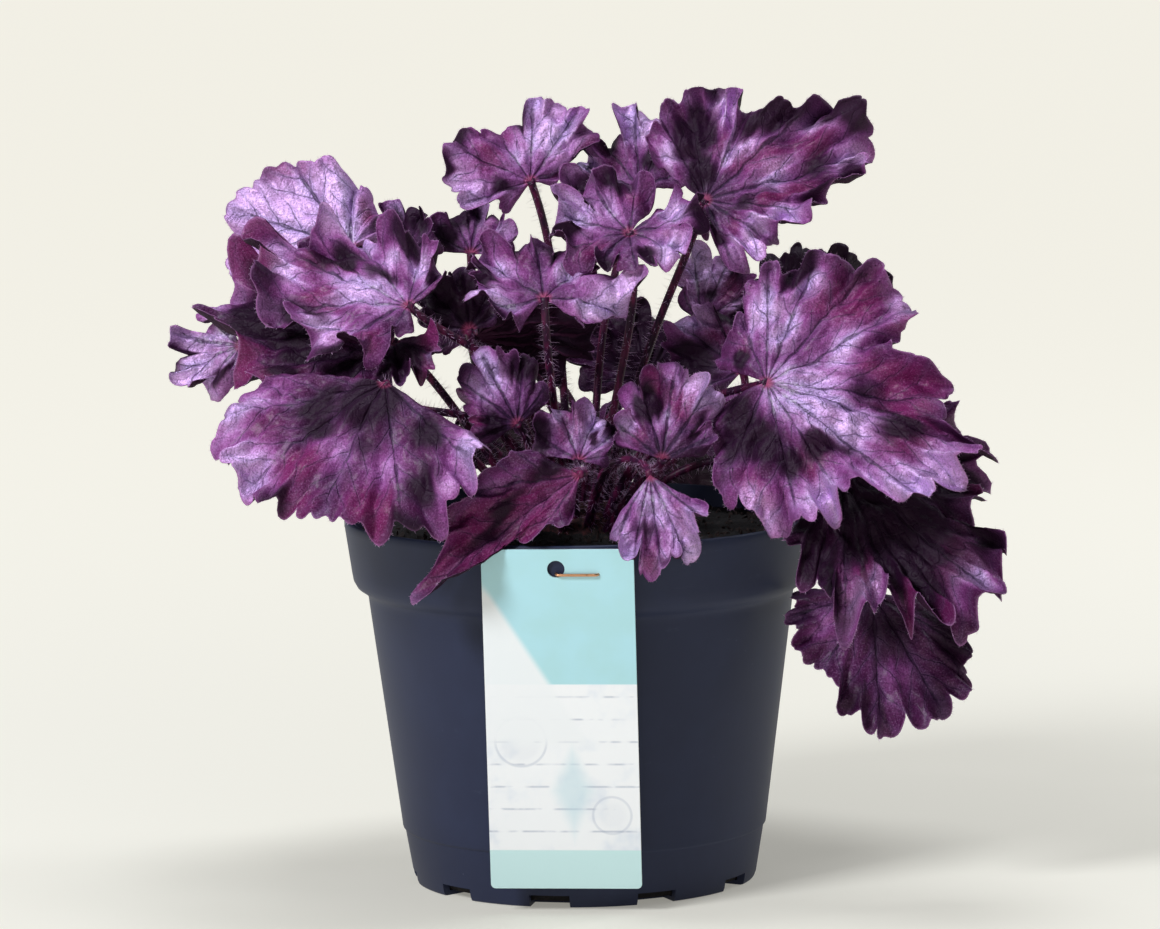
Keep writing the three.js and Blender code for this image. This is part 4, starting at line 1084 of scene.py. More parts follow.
def leaf_finish(colours):
    """Plum blade with dark veins in a blue mist, a lilac bloom partly painted as sheen and glints, magenta
    patches partly a painted glow, painted shade, a pale margin partly a painted rim highlight, and a dull
    back.
    """
    f = Finish("heuchera_blade")
    to_rib = f.attribute("to_rib")
    along = f.attribute("along")
    out = f.attribute("out")
    under = f.attribute("under")
    wander = f.noise(7, 2) - 0.5
    to_rib = abs(to_rib + wander * 1.5)
    rib = to_rib.fall(0.05, 0.6) * out.fall(0.75, 1.05)
    beat = ((along - to_rib * 1.25 + wander * 5.0) / 8.4 + f.attribute("side") * 0.5).fraction()
    off = abs(beat - 0.5) * 8.4
    side_vein = off.fall(0.0, 0.45) * along.rise(4, 14) * out.fall(0.8, 1.0)
    net = f.cells(3.2, "DISTANCE_TO_EDGE").fall(0.0, 0.12)
    fibre = f.noise(1.7, 4, 0.7)
    speck = f.noise(0.55, 2, 0.6)
    veins = (rib * 0.8 + side_vein * 0.5 + net * 0.16).held()
    mist = (to_rib.fall(0.3, 3.2) + off.fall(0.2, 2.4) * 0.6).held() * (fibre * 0.8 + 0.5)
    soft = f.noise(11, 2) - 0.5
    # Painted shade: the near-black patches where the blade lies in shade; light is what lies outside them.
    dark = (f.attribute("dark") + soft * 0.35).rise(0.2, 0.75)
    light = 1 - dark
    # Lilac bloom, partly the leaf's own silvering and partly painted sheen where the blade would catch the
    # light; it also lifts the ground towards pink.
    tone = f.attribute("silver") + soft * 0.7 + (fibre - 0.5) * 0.35
    silver = tone.rise(0.15, 1.0) * light
    # Magenta, partly the leaf's own colour and partly a painted glow of light through the blade.
    blush = (f.attribute("blush") + soft * 0.4).rise(0.15, 0.8)
    ground = f.mix(colours.plum, PINK, tone.rise(-0.2, 0.5))
    ground = f.mix(ground, MAGENTA, blush * 0.85)
    ground = f.mix(ground, colours.silver, silver * (1 - blush * 0.6))
    ground = f.mix(ground, VEIN_MIST, (mist * (silver * 0.55 + 0.12)).held())
    ground = f.mix(ground, PLUM_DARK, speck.fall(0.34, 0.5) * 0.4)
    # Painted glints: tiny lilac highlights on the specks, most where the bloom and painted sheen lie.
    ground = f.mix(ground, SILVER, speck.rise(0.54, 0.68) * (silver * 0.5 + 0.12))
    ground = f.mix(ground, VEIN, veins * 0.8)
    streak = to_rib.fall(0.2, 1.6) * along.fall(5, 18) * fibre.rise(0.45, 0.6)
    ground = f.mix(ground, STREAK, streak * silver)
    # Painted shade: the near-black patches laid over the whole upper side.
    ground = f.mix(ground, PLUM_DARK, dark * 0.96)
    # A pale rim, partly the hairy margin's own colour and partly a painted highlight where the edge catches
    # the light, brighter outside the painted shade.
    ground = f.mix(ground, EDGE, out.rise(0.985, 1.0) * (light * 0.3 + 0.15))
    ground = f.mix(ground, HUB, along.fall(0.8, 3.0) * 0.75)
    back = f.mix(UNDER, PLUM_DARK, soft.rise(-0.1, 0.2))
    back = f.mix(back, UNDER_VEIN, (rib * 0.5 + side_vein * 0.25).held())
    # A fainter pale rim on the underside, partly a painted highlight.
    back = f.mix(back, EDGE, out.rise(0.99, 1.0) * 0.2)
    colour = f.mix(ground, back, under)
    relief = fibre * 0.8 + speck * 0.25 - (1 - 2 * under) * (rib * 0.6 + side_vein * 0.4 + net * 0.15)
    above = 1 - under
    return f.done(
        Base_Color=colour, Roughness=0.4 + fibre * 0.12 + under * 0.2, Normal=f.bump(relief, 0.6, 0.9),
        Metallic=(silver * 0.5 + light * 0.1) * above, Specular_IOR_Level=0.16,
        Coat_Weight=light * 0.16 * above, Coat_Roughness=0.3, Coat_IOR=1.5,
    )


def stalk_finish():
    """Dark plum stalk with reddish streaks along it."""
    f = Finish("heuchera_stalk")
    streak = f.noise(2.5, 3, 0.6, (1, 1, 0.12))
    colour = f.mix(rgb(46, 14, 44), rgb(128, 36, 84), streak.rise(0.4, 0.75) * 0.75)
    relief = f.noise(0.8, 2, 0.6, (1, 1, 0.15))
    return f.done(
        Base_Color=colour, Roughness=0.4, Normal=f.bump(relief, 0.25, 0.5), Specular_IOR_Level=0.25)


def hair_finish():
    """Pale glassy hairs."""
    f = Finish("heuchera_hair")
    colour = f.mix(rgb(214, 176, 218), rgb(140, 84, 132), f.noise(5, 1).rise(0.45, 0.65))
    return f.done(Base_Color=colour, Roughness=0.35)


def pot_finish(colour):
    """Moulded dark plastic: fine rings from the mould, dull scuffs and dust."""
    f = Finish("nursery_pot_plastic")
    rings = f.noise(1.2, 2, 0.6, (0.04, 0.04, 1))
    blotch = f.noise(38, 4, 0.6)
    scuff = f.noise(5, 5, 0.75, (0.35, 0.35, 1)).rise(0.62, 0.78)
    dust = f.cells(5.5).fall(0.02, 0.07) * f.noise(11, 1).rise(0.52, 0.6)
    tone = f.mix(colour, rgb(52, 60, 90), blotch.rise(0.35, 0.75) * 0.3)
    tone = f.mix(tone, rgb(92, 98, 116), scuff * 0.16 + dust * 0.5)
    rough = 0.48 + blotch * 0.1 + scuff * 0.12 + dust * 0.3
    relief = rings * 0.5 + f.noise(0.5, 2) * 0.25
    return f.done(
        Base_Color=tone, Roughness=rough, Normal=f.bump(relief, 0.08, 0.6), Specular_IOR_Level=0.26)


def soil_finish():
    """Near-black peat: the peat's own dark colour, darkened further as painted shade inside the pot."""
    f = Finish("potting_mix")
    crumb = f.noise(1.6, 5, 0.7)
    colour = f.mix(rgb(10, 6, 9), rgb(36, 24, 26), crumb.rise(0.45, 0.75))
    return f.done(Base_Color=colour, Roughness=0.95, Normal=f.bump(crumb + f.noise(4, 3), 1.2, 0.9))


def bark_finish(name, dark, light):
    """Rough woody skin with a lengthwise grain."""
    f = Finish(name)
    grain = f.noise(1.3, 4, 0.65, (1, 1, 0.3))
    colour = f.mix(dark, light, grain.rise(0.35, 0.75))
    return f.done(Base_Color=colour, Roughness=0.85, Normal=f.bump(grain, 0.7, 0.8))


def copper_finish():
    """Bright copper-coated wire, a little tarnished."""
    f = Finish("staple_copper")
    tarnish = f.noise(1.5, 3)
    colour = f.mix(rgb(222, 160, 120), rgb(150, 96, 66), tarnish.rise(0.5, 0.8))
    return f.done(Base_Color=colour, Metallic=1.0, Roughness=0.25 + tarnish * 0.2)


# ------------------------------------------------------------------ label design

def label_matrix():
    """From the label's own frame to the plant's: x across, z up the card, y into the pot."""
    azimuth = math.radians(LABEL_AZIMUTH)
    distance = RIM_RADIUS + REST_GAP
    spot = Vector((distance * math.cos(azimuth), distance * math.sin(azimuth), LABEL_TOP_Z)) * MM
    turn = Matrix.Rotation(azimuth + math.pi / 2, 4, "Z")
    lean = Matrix.Rotation(math.radians(LABEL_LEAN), 4, "X")
    return Matrix.Translation(spot) @ turn @ lean


# Millimetres down the card.
PANEL_FOOT = 43.2
FOOT_BAND_TOP = 97.2
LINE_SPACING = 7.3
PRINT_EDGE = 0.4


def label_finish(panel):
    """Coated card: a sea-green panel over a pale one, with plain bands and rings, and a near-white diagonal
    sweep at the upper left that is painted glare.
    """
    f = Finish("printed_label_card")
    across = f.attribute("card_x")
    down = f.attribute("card_down")
    ground = f.mix(panel, rgb(176, 222, 224), f.noise(14, 3).rise(0.3, 0.75) * 0.6)
    pale = f.mix(rgb(252, 253, 255), rgb(222, 230, 242), f.noise(12, 3, 0.6).rise(0.45, 0.8) * 0.8)
    course = (down / LINE_SPACING).fraction()
    line = abs(course - 0.5).fall(0.02, 0.06) * f.noise(7, 2).rise(0.42, 0.6) * 0.5
    pale = f.mix(pale, rgb(150, 158, 184), line)
    for x, z, radius, tone in ((-13, 62, 8, 0.35), (15, 86, 6, 0.3)):
        far = ((across - x) ** 2.0 + (down - z) ** 2.0) ** 0.5
        ring = abs(far - radius).fall(0.15, 0.6)
        pale = f.mix(pale, rgb(160, 170, 194), (ring + far.fall(radius - 3, radius) * 0.3) * tone)
    glow = (abs(across - 3) / 9 + abs(down - 78) / 20).fall(0.3, 1.0)
    pale = f.mix(pale, rgb(190, 224, 234), glow * 0.5)
    colour = f.mix(ground, pale, down.rise(PANEL_FOOT, PANEL_FOOT + PRINT_EDGE))
    # Painted glare: a near-white diagonal sweep down the upper left of the card.
    painted_glare = (across + 24.0 - (down - 12) * 0.62).fall(-0.5, 2.5) * down.rise(8, 16) * down.fall(60, 66)
    colour = f.mix(colour, rgb(248, 250, 252), painted_glare * 0.94)
    colour = f.mix(colour, rgb(206, 238, 238), down.rise(FOOT_BAND_TOP, FOOT_BAND_TOP + PRINT_EDGE))
    colour = f.mix(colour, rgb(240, 242, 244), f.attribute("card_back"))
    return f.done(Base_Color=colour, Roughness=0.32, Coat_Weight=0.25, Coat_Roughness=0.15)


# ------------------------------------------------------------------ settings

def colour_property(name, description, default):
    return FloatVectorProperty(
        name=name, description=description, subtype="COLOR", size=4, default=default)


class PotSettings(bpy.types.PropertyGroup):
    plastic: colour_property("Plastic", "Colour of the pot", rgb(37, 43, 68))
    sides: IntProperty(name="Sides", description="Faces round the pot", default=POT_SIDES, min=24)


class LeafSettings(bpy.types.PropertyGroup):
    plum: colour_property("Plum", "Ground colour of the blades", PLUM)
    # Colour of the lilac patches: the silvery bloom and painted sheen.
    silver: colour_property("Silver", "Colour of the silvery bloom", SILVER)


class HairSettings(bpy.types.PropertyGroup):
    stalk_length: FloatProperty(
        name="Stalk hair", description="Length of the hairs on the stalks",
        default=2.7 * MM, unit="LENGTH")
    margin_length: FloatProperty(
        name="Margin hair", description="Length of the hairs along the blades' margins",
        default=0.9 * MM, unit="LENGTH")
    stalk_density: FloatProperty(
        name="Stalk density", description="Hairs for each square metre of stalk", default=480000.0)
    margin_density: FloatProperty(
        name="Margin density", description="Hairs for each square metre of margin", default=4000000.0)
    seed: IntProperty(name="Seed", description="Seed of the hairs' places", default=4)


class SoilSettings(bpy.types.PropertyGroup):
    chips: FloatProperty(
        name="Chips", description="Bark chips for each square metre of soil", default=60000.0)
    seed: IntProperty(name="Seed", description="Seed of the chips' places", default=11)


class LabelSettings(bpy.types.PropertyGroup):
    panel: colour_property("Panel", "Colour of the label's upper panel", rgb(182, 230, 240))


class StageSettings(bpy.types.PropertyGroup):
    floor: colour_property("Floor", "Colour of the floor", rgb(241, 238, 227))
    key_power: FloatProperty(
        name="Key light", description="Power of the main light in watts", default=19.5)


# ------------------------------------------------------------------ operators

POT_OUTSIDE = (
    (BASE_RADIUS - 1.5, 0), (BASE_RADIUS - 0.5, 0.25), (BASE_RADIUS, 1.5),
    (FOOT_TOP_RADIUS - 0.8, FOOT_TOP_Z - 1.0), (FOOT_TOP_RADIUS - 0.7, FOOT_TOP_Z - 0.6),
    (FOOT_TOP_RADIUS - 0.1, FOOT_TOP_Z - 0.25), (FOOT_TOP_RADIUS, FOOT_TOP_Z + 0.2),
    (FOOT_TOP_RADIUS + 0.1, FOOT_TOP_Z + 1.2),
    (SHOULDER_RADIUS - 0.7, SHOULDER_Z - 3.6), (SHOULDER_RADIUS - 0.5, SHOULDER_Z - 1.8),
    (SHOULDER_RADIUS + 0.1, SHOULDER_Z - 0.6), (BAND_FOOT_RADIUS - 3.6, SHOULDER_Z + 0.2),
    (BAND_FOOT_RADIUS - 1.6, SHOULDER_Z + 1.6), (BAND_FOOT_RADIUS - 0.5, SHOULDER_Z + 3.6),
    (BAND_FOOT_RADIUS, BAND_FOOT_Z), (BAND_FOOT_RADIUS + 0.15, BAND_FOOT_Z + 1.2),
    (RIM_RADIUS - 0.15, POT_HEIGHT - 3.2), (RIM_RADIUS, POT_HEIGHT - 2.6), (RIM_RADIUS, POT_HEIGHT - 0.8),
    (RIM_RADIUS - 0.25, POT_HEIGHT - 0.2), (RIM_RADIUS - 0.7, POT_HEIGHT),
)
POT_INSIDE = (
    (BASE_RADIUS - 2.6, WALL), (SHOULDER_RADIUS - 0.5 - WALL, SHOULDER_Z - 1),
    (BAND_FOOT_RADIUS - WALL, BAND_FOOT_Z + 0.4), (RIM_RADIUS - WALL, POT_HEIGHT - 0.6),
    (RIM_RADIUS - WALL + 0.25, POT_HEIGHT - 0.1),
)


class HEUCHERA_OT_pot(bpy.types.Operator):
    """Turn the nursery pot and cut its drainage slots"""
    bl_idname = "heuchera.pot"
    bl_label = "Pot"

    def execute(self, context):
        settings = context.scene.heuchera_pot
        angles = round_angles(settings.sides)
        rings = [ring(angles, radius, z) for radius, z in (*POT_OUTSIDE, *POT_INSIDE[::-1])]
        pot = mesh_from("nursery_pot", *stacked(rings, 0, WALL), pot_finish(settings.plastic))
        cutter = self.slots()
        modifier = pot.modifiers.new("slots", "BOOLEAN")
        modifier.operation = "DIFFERENCE"
        modifier.solver = "EXACT"
        modifier.object = cutter
        mesh = evaluated(pot)
        pot.modifiers.remove(modifier)
        pot.data = mesh
        bpy.data.objects.remove(cutter)
        mesh.shade_smooth()
        mesh.set_sharp_from_angle(angle=math.radians(SHARP_ANGLE))
        seat(pot, "pot")
        return {"FINISHED"}

    def slots(self):
        """Boxes that the drainage slots are cut with."""
        points = []
        faces = []
        inner, outer = DRAIN_SLOT_INNER_RADIUS, BASE_RADIUS + 6
        for i in range(DRAIN_SLOTS):
            azimuth = math.radians(DRAIN_FIRST_AZIMUTH + 360 / DRAIN_SLOTS * i)
            along = np.array([math.cos(azimuth), math.sin(azimuth), 0])
            side = np.array([-along[1], along[0], 0]) * DRAIN_SLOT_WIDTH / 2
            first = len(points)
            for z in (-DRAIN_SLOT_HEIGHT, DRAIN_SLOT_HEIGHT):
                for radius, turn in ((inner, -1), (outer, -1), (outer, 1), (inner, 1)):
                    points.append(radius * along + turn * side + (0, 0, z))
            faces.append([first + k for k in (3, 2, 1, 0)])
            faces.append([first + k for k in (4, 5, 6, 7)])
            for k in range(4):
                after = (k + 1) % 4
                faces.append([first + k, first + after, first + after + 4, first + k + 4])
        return mesh_from("slot_cutter", points, faces, smooth=False)


def soil_height(x, y):
    """Height of the soil: the construction model's low mound, with clods and crumbs."""
    share = np.minimum(1, np.hypot(x, y) / (RIM_RADIUS - WALL))
    mound = SOIL_EDGE_Z + (SOIL_CENTRE_Z - SOIL_EDGE_Z) * (1 - share ** 2)
    hollows = 0.7 * np.sin(0.19 * x + 1) * np.cos(0.16 * y) + 0.4 * np.sin(0.31 * y + 0.2 * x)
    clods = 0.5 * np.sin(0.9 * x + 2 * np.sin(0.5 * y)) * np.sin(0.8 * y + 1.5 * np.sin(0.6 * x))
    crumbs = 0.25 * np.sin(2.3 * x + y) * np.sin(2.1 * y - 1.3 * x)
    return mound + hollows + clods + crumbs


class HEUCHERA_OT_soil(bpy.types.Operator):
    """Fill the pot with damp potting mix and strew it with bark chips"""
    bl_idname = "heuchera.soil"
    bl_label = "Soil"

    def execute(self, context):
        settings = context.scene.heuchera_soil
        edge = RIM_RADIUS - WALL - SOIL_RIM_GAP
        angles = round_angles(SOIL_SIDES)
        low = [(r - SOIL_GAP, z + SOIL_GAP) for r, z in POT_INSIDE[:3]]
        rings = [ring(angles, radius, z) for radius, z in low]
        for i in range(SOIL_RINGS):
            level = ring(angles, edge * (1 - i / SOIL_RINGS), 0)
            level[:, 2] = soil_height(level[:, 0], level[:, 1])
            rings.append(level)
        points, faces = stacked(rings, low[0][1], soil_height(0.0, 0.0))
        soil = mesh_from("potting_mix", points, faces, soil_finish())
        seat(soil, "soil")
        # Dark bark chips, darkened further as painted shade inside the pot.
        finish = bark_finish("bark_chip", rgb(20, 12, 13), rgb(62, 40, 36))
        chips = chip_recipe().grow(
            soil, "bark_chips", Density=settings.chips, Seed=settings.seed, Finish=finish)
        seat(chips)
        return {"FINISHED"}


def chip_recipe():
    """Flat angular chips scattered over the upward faces of a mesh."""
    r = Recipe("Bark chips", (
        ("Density", "Float", 1000.0), ("Size", "Float", 1.5 * MM), ("Seed", "Int", 0),
        ("Finish", "Material", None)))
    normal = r.node("GeometryNodeInputNormal")
    upward = r.node("ShaderNodeSeparateXYZ", None, {"Vector": normal}, "Z")
    points, _ = r.spread(Selection=upward > 0.5)
    chip = r.node("GeometryNodeMeshIcoSphere", None, {"Radius": r.given("Size"), "Subdivisions": 1}, "Mesh")
    angles = r.random((0.0, 0.0, 0.0), (6.28, 6.28, 6.28), 3)
    turn = r.node("FunctionNodeEulerToRotation", None, {"Euler": angles})
    r.ends(points, chip, turn, r.random((0.3, 0.2, 0.12), (1.6, 0.8, 0.4), 5))
    return r


class HEUCHERA_OT_crown(bpy.types.Operator):
    """Shape the knobbly woody crown with its main roots"""
    bl_idname = "heuchera.crown"
    bl_label = "Crown"

    def execute(self, context):
        angles = round_angles(CROWN_SIDES)
        rings = [ring(angles, CROWN_RADIUS / 2, CROWN_FOOT_Z + 3)]
        for share in np.linspace(1, 1 / CROWN_RINGS, CROWN_RINGS):
            knob = 0.6 * np.sin(9 * angles + 14 * share) * np.sin(11 * share + 5 * angles)
            radius = share * CROWN_RADIUS - CROWN_SKIN + knob
            height = CROWN_TOP_Z - CROWN_DOME_HEIGHT * share ** 2.4 - CROWN_SKIN + 0.8 * knob
            rings.append(ring(angles, radius, height))
        points, faces = stacked(rings, CROWN_FOOT_Z, CROWN_TOP_Z - CROWN_SKIN)
        points = list(points)
        for i in range(ROOTS):
            azimuth = math.radians(360 * (i + 0.4 * draw(5, i)) / ROOTS)
            spots = (
                (4, 9), (0.7 * ROOT_REACH, 4),
                (0.6 * ROOT_REACH, -ROOT_DEPTH / 2), (ROOT_REACH, -ROOT_DEPTH),
            )
            corners = [(r * math.cos(azimuth), r * math.sin(azimuth), CROWN_FOOT_Z + z) for r, z in spots]
            path = bezier(corners, 24)
            more, skin = tube(path, np.linspace(ROOT_RADIUS, 0.9, len(path)), 10, len(points))
            points += list(more)
            faces += skin
        finish = bark_finish("crown_bark", rgb(28, 12, 16), rgb(92, 44, 48))
        crown = mesh_from("crown", points, faces, finish)
        seat(crown, "crown")
        return {"FINISHED"}


class HEUCHERA_OT_label(bpy.types.Operator):
    """Cut the card label with its punched hole"""
    bl_idname = "heuchera.label"
    bl_label = "Label"

    def execute(self, context):
        curve = bpy.data.curves.new("label_outline", "CURVE")
        curve.dimensions = "2D"
        curve.fill_mode = "BOTH"
        curve.extrude = (LABEL_THICKNESS / 2 - LABEL_EDGE) * MM
        curve.bevel_depth = LABEL_EDGE * MM
        curve.bevel_resolution = 1
        curve.offset = -LABEL_EDGE * MM
        for loop in (self.outline(), self.hole()):
            spline = curve.splines.new("POLY")
            spline.points.add(len(loop) - 1)
            for point, (x, z) in zip(spline.points, loop):
                point.co = (x * MM, z * MM, 0, 1)
            spline.use_cyclic_u = True
        flat = shown("label_flat", curve)
        mesh = evaluated(flat)
        bpy.data.objects.remove(flat)
        points = np.empty(len(mesh.vertices) * 3)
        mesh.vertices.foreach_get("co", points)
        points = points.reshape(-1, 3)
        set_facts(mesh, {
            "card_x": points[:, 0] / MM, "card_down": -points[:, 1] / MM,
            "card_back": (points[:, 2] < -LABEL_THICKNESS * 0.3 * MM).astype(float),
        })
        stand = Matrix.Rotation(math.pi / 2, 4, "X")
        middle = Matrix.Translation((0, -LABEL_THICKNESS / 2 * MM, 0))
        mesh.transform(label_matrix() @ middle @ stand)
        mesh.materials.clear()
        mesh.materials.append(label_finish(context.scene.heuchera_label.panel))
        label = shown("label_card", mesh)
        seat(label, "label")
        return {"FINISHED"}

    def outline(self):
        """The card's edge, with round corners, from its upper right one."""
        half, corner, loop = LABEL_WIDTH / 2, LABEL_CORNER, []
        foot = -LABEL_HEIGHT
        for x, z, start in ((half, 0, 0), (-half, 0, 90), (-half, foot, 180), (half, foot, 270)):
            cx = x - math.copysign(corner, x)
            cz = z - corner if z == 0 else z + corner
            for i in range(7):
                a = math.radians(start + 15 * i)
                loop.append((cx + corner * math.cos(a), cz + corner * math.sin(a)))
        return loop

    def hole(self):
        turns = [2 * math.pi * i / 48 for i in range(48)]
        r = LABEL_HOLE_RADIUS
        return [(LABEL_HOLE_X + r * math.cos(a), r * math.sin(a) - LABEL_HOLE_BELOW_TOP) for a in turns]


class HEUCHERA_OT_staple(bpy.types.Operator):
    """Bend the copper-coated staple that holds the label"""
    bl_idname = "heuchera.staple"
    bl_label = "Staple"

    def execute(self, context):
        front = -LABEL_THICKNESS - REST_GAP - STAPLE_WIRE / 2
        back = front + STAPLE_LEG
        left, right = LABEL_HOLE_X, LABEL_HOLE_X + STAPLE_CROWN
        path = [(left, back)]
        bend_y = front + STAPLE_BEND
        for x, turn in ((left + STAPLE_BEND, 180), (right - STAPLE_BEND, 270)):
            for i in range(9):
                a = math.radians(turn + 90 * i / 8)
                path.append((x + STAPLE_BEND * math.cos(a), bend_y + STAPLE_BEND * math.sin(a)))
        path.append((right, back))
        path = [(x, y, -STAPLE_BELOW_TOP) for x, y in path]
        points, faces = tube(path, [STAPLE_WIRE / 2] * len(path), 12)
        staple = mesh_from("staple_wire", points, faces, copper_finish())
        staple.data.transform(label_matrix())
        seat(staple, "staple")
        return {"FINISHED"}


class HEUCHERA_OT_leaves(bpy.types.Operator):
    """Grow every leaf: blade and stalk in one piece"""
    bl_idname = "heuchera.leaves"
    bl_label = "Leaves"

    def execute(self, context):
        blade_finish = leaf_finish(context.scene.heuchera_leaves)
        finish_of_stalk = stalk_finish()
        for name, facts in LEAVES.items():
            leaf = Leaf(name, facts)
            points, faces, values = leaf.blade()
            count = len(faces)
            stalk_points, stalk_faces = leaf.stalk(first=len(points))
            points = [*points, *stalk_points]
            piece = mesh_from("heuchera_" + name, points, faces + stalk_faces, blade_finish)
            mesh = piece.data
            mesh.materials.append(finish_of_stalk)
            slots = np.zeros(len(mesh.polygons), np.int32)
            slots[count:] = 1
            mesh.polygons.foreach_set("material_index", slots)
            padding = np.zeros(len(stalk_points))
            set_facts(mesh, {key: np.concatenate([v, padding]) for key, v in values.items()})
            seat(piece, "leaf_" + name)
        return {"FINISHED"}


def hair_recipe():
    """Fine tapering hairs that stand out of a mesh's faces, each with its own lean and length."""
    r = Recipe("Hairs", (
        ("Density", "Float", 1000.0), ("Length", "Float", 1 * MM), ("Thickness", "Float", 0.08 * MM),
        ("Lean", "Float", 0.5), ("Seed", "Int", 0), ("Finish", "Material", None)))
    points, normal = r.spread()
    cone = {
        "Vertices": 3, "Side Segments": 1, "Radius Top": 0.01 * MM,
        "Radius Bottom": r.given("Thickness"), "Depth": r.given("Length"),
    }
    hair = r.node("GeometryNodeMeshCone", {"fill_type": "NONE"}, cone, "Mesh")
    stray = r.random((-1.0, -1.0, -1.0), (1.0, 1.0, 1.0), 8)
    leaning = r.node("ShaderNodeVectorMath", {"operation": "SCALE"}, {0: stray, "Scale": r.given("Lean")})
    way = r.node("ShaderNodeVectorMath", {"operation": "ADD"}, {0: normal, 1: leaning})
    turn = r.node("FunctionNodeAlignRotationToVector", {"axis": "Z"}, {"Vector": way})
    tall = r.node("FunctionNodeRandomValue", {"data_type": "FLOAT"}, {2: 0.45, 3: 1.15, "Seed": 9}, 1)
    size = r.node("ShaderNodeCombineXYZ", None, {"X": 1.0, "Y": 1.0, "Z": tall})
    r.ends(points, hair, turn, size)
    return r


class HEUCHERA_OT_hairs(bpy.types.Operator):
    """Grow the hairs on the stalks and along the blades' margins"""
    bl_idname = "heuchera.hairs"
    bl_label = "Hairs"

    def execute(self, context):
        settings = context.scene.heuchera_hairs
        self.recipe = hair_recipe()
        self.finish = hair_finish()
        self.grow(
            "stalk_hairs", self.stalk_strips(), Density=settings.stalk_density,
            Length=settings.stalk_length, Thickness=STALK_HAIR_RADIUS * MM, Lean=0.45,
            Seed=settings.seed)
        self.grow(
            "margin_hairs", self.margin_strips(), Density=settings.margin_density,
            Length=settings.margin_length, Thickness=MARGIN_HAIR_RADIUS * MM, Lean=0.7,
            Seed=settings.seed + 1)
        return {"FINISHED"}

    def grow(self, name, strips, **values):
        """Hairs of one kind over all the strips that they grow from."""
        points = []
        faces = []
        for more, skin in strips:
            faces += [tuple(len(points) + i for i in face) for face in skin]
            points += list(more)
        bed = mesh_from("hair_bed", points, faces)
        hairs = self.recipe.grow(bed, name, Finish=self.finish, **values)
        bpy.data.objects.remove(bed)
        seat(hairs)

    def stalk_strips(self):
        for name, facts in LEAVES.items():
            yield Leaf(name, facts).stalk()

    def margin_strips(self):
        """The narrow outward faces between the upper and lower edge of each blade."""
        for name, facts in LEAVES.items():
            points, faces, values = Leaf(name, facts).blade()
            out = values["out"]
            under = values["under"]
            edge = [f for f in faces if len(f) == 4 and min(out[list(f)]) > 0.999]
            rim = [f for f in edge if len(set(under[list(f)])) > 1]
            used = sorted({i for face in rim for i in face})
            number = {i: k for k, i in enumerate(used)}
            yield points[used], [tuple(number[i] for i in face) for face in rim]


# Each lamp: its name, place and width in metres, and power as a share of the main one's.
LAMPS = (
    ("key_light", (-0.95, -0.95, 1.05), 0.46, 1.0),
    ("sky_light", (0.0, 0.1, 1.3), 0.6, 0.33),
    ("rim_light", (0.9, 0.45, 0.9), 0.4, 0.16),
)
LAMP_COLOUR = (0.93, 0.96, 1.0)
AIR_COLOUR = (0.86, 0.92, 1.0, 1.0)
AIR_STRENGTH = 0.12


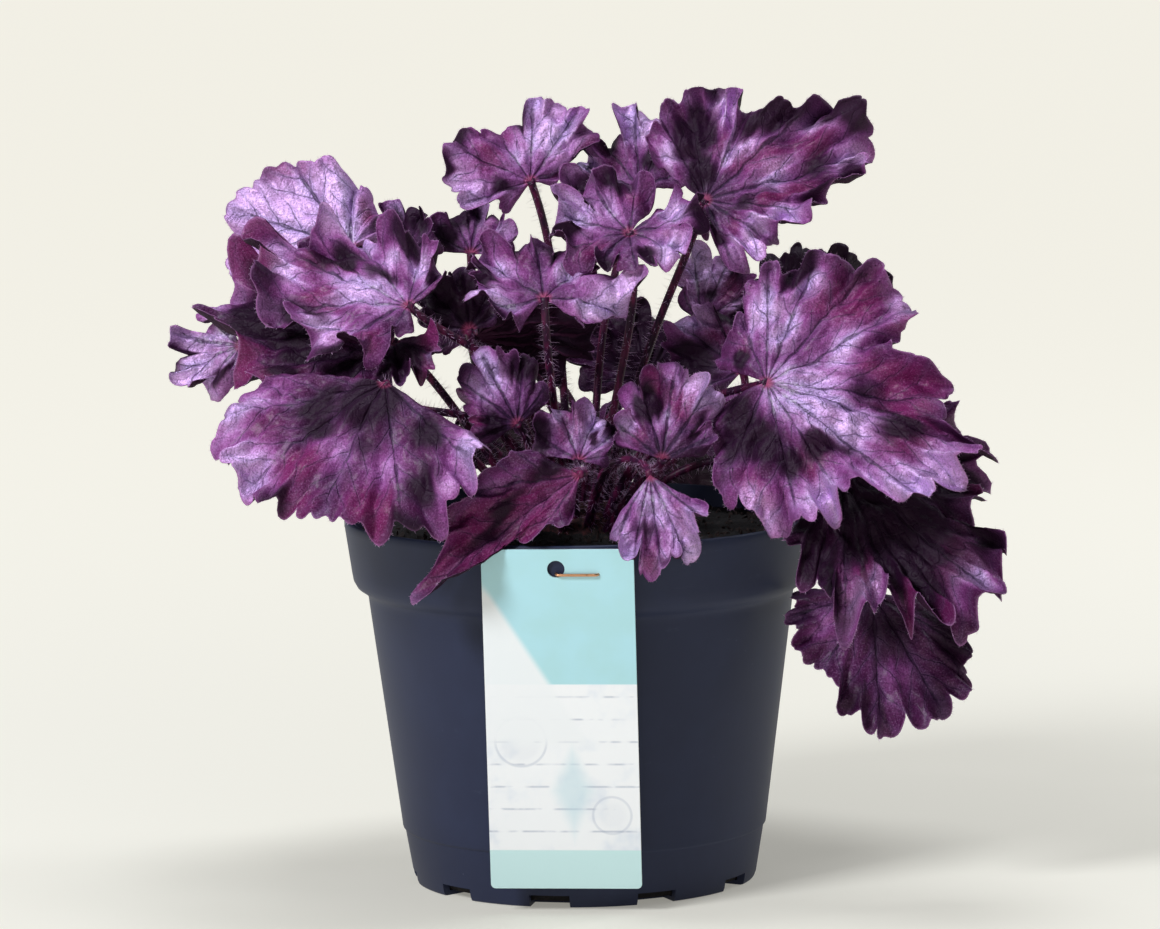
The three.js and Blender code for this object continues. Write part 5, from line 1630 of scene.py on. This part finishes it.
class HEUCHERA_OT_stage(bpy.types.Operator):
    """Set the floor, the lights and the camera"""
    bl_idname = "heuchera.stage"
    bl_label = "Stage"

    def execute(self, context):
        settings = context.scene.heuchera_stage
        self.floor(settings)
        for name, spot, size, share in LAMPS:
            self.light(name, spot, size, settings.key_power * share)
        self.air(context)
        self.camera(context)
        context.scene.view_settings.view_transform = "Standard"
        return {"FINISHED"}

    def floor(self, settings):
        """A wide flat floor that glows a little, and more so where the lamps' light falls away."""
        half = FLOOR_SIZE / 2
        corners = [(x * half, y * half, 0) for x, y in ((-1, -1), (1, -1), (1, 1), (-1, 1))]
        f = Finish("pale_floor")
        far = (f.axis("X") ** 2.0 + f.axis("Y") ** 2.0) / (LIT_RADIUS * MM) ** 2
        glow = FLOOR_GLOW - LIT_GLOW_LOSS * (far + 1.0) ** -1.5
        material = f.done(
            Base_Color=rgb(212, 209, 199), Roughness=0.9, Specular_IOR_Level=0.1,
            Emission_Color=f.mix(rgb(0, 0, 0), settings.floor, glow), Emission_Strength=1.0)
        mesh_from("pale_floor", corners, [(0, 1, 2, 3)], material)

    def light(self, name, spot, size, power):
        """A round lamp that points at the middle of the plant."""
        lamp = bpy.data.lights.new(name, "AREA")
        lamp.shape = "DISK"
        lamp.size = size
        lamp.energy = power
        lamp.color = LAMP_COLOUR
        piece = shown(name, lamp)
        piece.location = spot
        aim = Vector(LAMP_AIM) * MM - piece.location
        piece.rotation_euler = aim.to_track_quat("-Z", "Y").to_euler()

    def air(self, context):
        """Faint light from all round."""
        world = bpy.data.worlds.new("studio_air")
        context.scene.world = world
        world.use_nodes = True
        ground = world.node_tree.nodes["Background"]
        ground.inputs["Color"].default_value = AIR_COLOUR
        ground.inputs["Strength"].default_value = AIR_STRENGTH

    def camera(self, context):
        """A long lens a little above the rim, turned slightly about its axis."""
        elevation, roll = math.radians(CAMERA_HEIGHT_ANGLE), math.radians(CAMERA_ROLL)
        back = Vector((0, -math.cos(elevation), math.sin(elevation)))
        level = Vector((1, 0, 0))
        upright = Vector((0, math.sin(elevation), math.cos(elevation)))
        right = level * math.cos(roll) - upright * math.sin(roll)
        up = upright * math.cos(roll) + level * math.sin(roll)
        lens = bpy.data.cameras.new("camera")
        lens.sensor_width = SENSOR_WIDTH
        lens.lens = CAMERA_LENS
        lens.clip_start = 0.05
        eye = shown("camera", lens)
        spot = (Vector(CAMERA_TARGET) + back * CAMERA_DISTANCE) * MM
        columns = (right, up, back, spot)
        eye.matrix_world = Matrix([[c[i] for c in columns] for i in range(3)] + [[0, 0, 0, 1]])
        context.scene.camera = eye


class HEUCHERA_PT_panel(bpy.types.Panel):
    """Lists the pieces of the plant"""
    bl_label = "Heuchera"
    bl_idname = "HEUCHERA_PT_panel"
    bl_space_type = "VIEW_3D"
    bl_region_type = "UI"
    bl_category = "Heuchera"

    def draw(self, context):
        scene = context.scene
        for title, group in SETTINGS:
            box = self.layout.box()
            box.label(text=title.capitalize())
            settings = getattr(scene, "heuchera_" + title)
            for key in group.__annotations__:
                box.prop(settings, key)
        for step in STEPS:
            self.layout.operator(step.bl_idname)


SETTINGS = (
    ("pot", PotSettings), ("soil", SoilSettings), ("leaves", LeafSettings), ("hairs", HairSettings),
    ("label", LabelSettings), ("stage", StageSettings),
)
STEPS = (
    HEUCHERA_OT_stage, HEUCHERA_OT_pot, HEUCHERA_OT_soil, HEUCHERA_OT_crown, HEUCHERA_OT_label,
    HEUCHERA_OT_staple, HEUCHERA_OT_leaves, HEUCHERA_OT_hairs,
)


def register():
    for title, group in SETTINGS:
        bpy.utils.register_class(group)
        setattr(bpy.types.Scene, "heuchera_" + title, PointerProperty(type=group))
    for kind in (*STEPS, HEUCHERA_PT_panel):
        bpy.utils.register_class(kind)


def unregister():
    for kind in (HEUCHERA_PT_panel, *reversed(STEPS)):
        bpy.utils.unregister_class(kind)
    for title, group in reversed(SETTINGS):
        delattr(bpy.types.Scene, "heuchera_" + title)
        bpy.utils.unregister_class(group)


def main():
    register()
    bpy.ops.heuchera.stage()
    bpy.ops.heuchera.pot()
    bpy.ops.heuchera.soil()
    bpy.ops.heuchera.crown()
    bpy.ops.heuchera.label()
    bpy.ops.heuchera.staple()
    bpy.ops.heuchera.leaves()
    bpy.ops.heuchera.hairs()


if __name__ == "__main__":
    main()
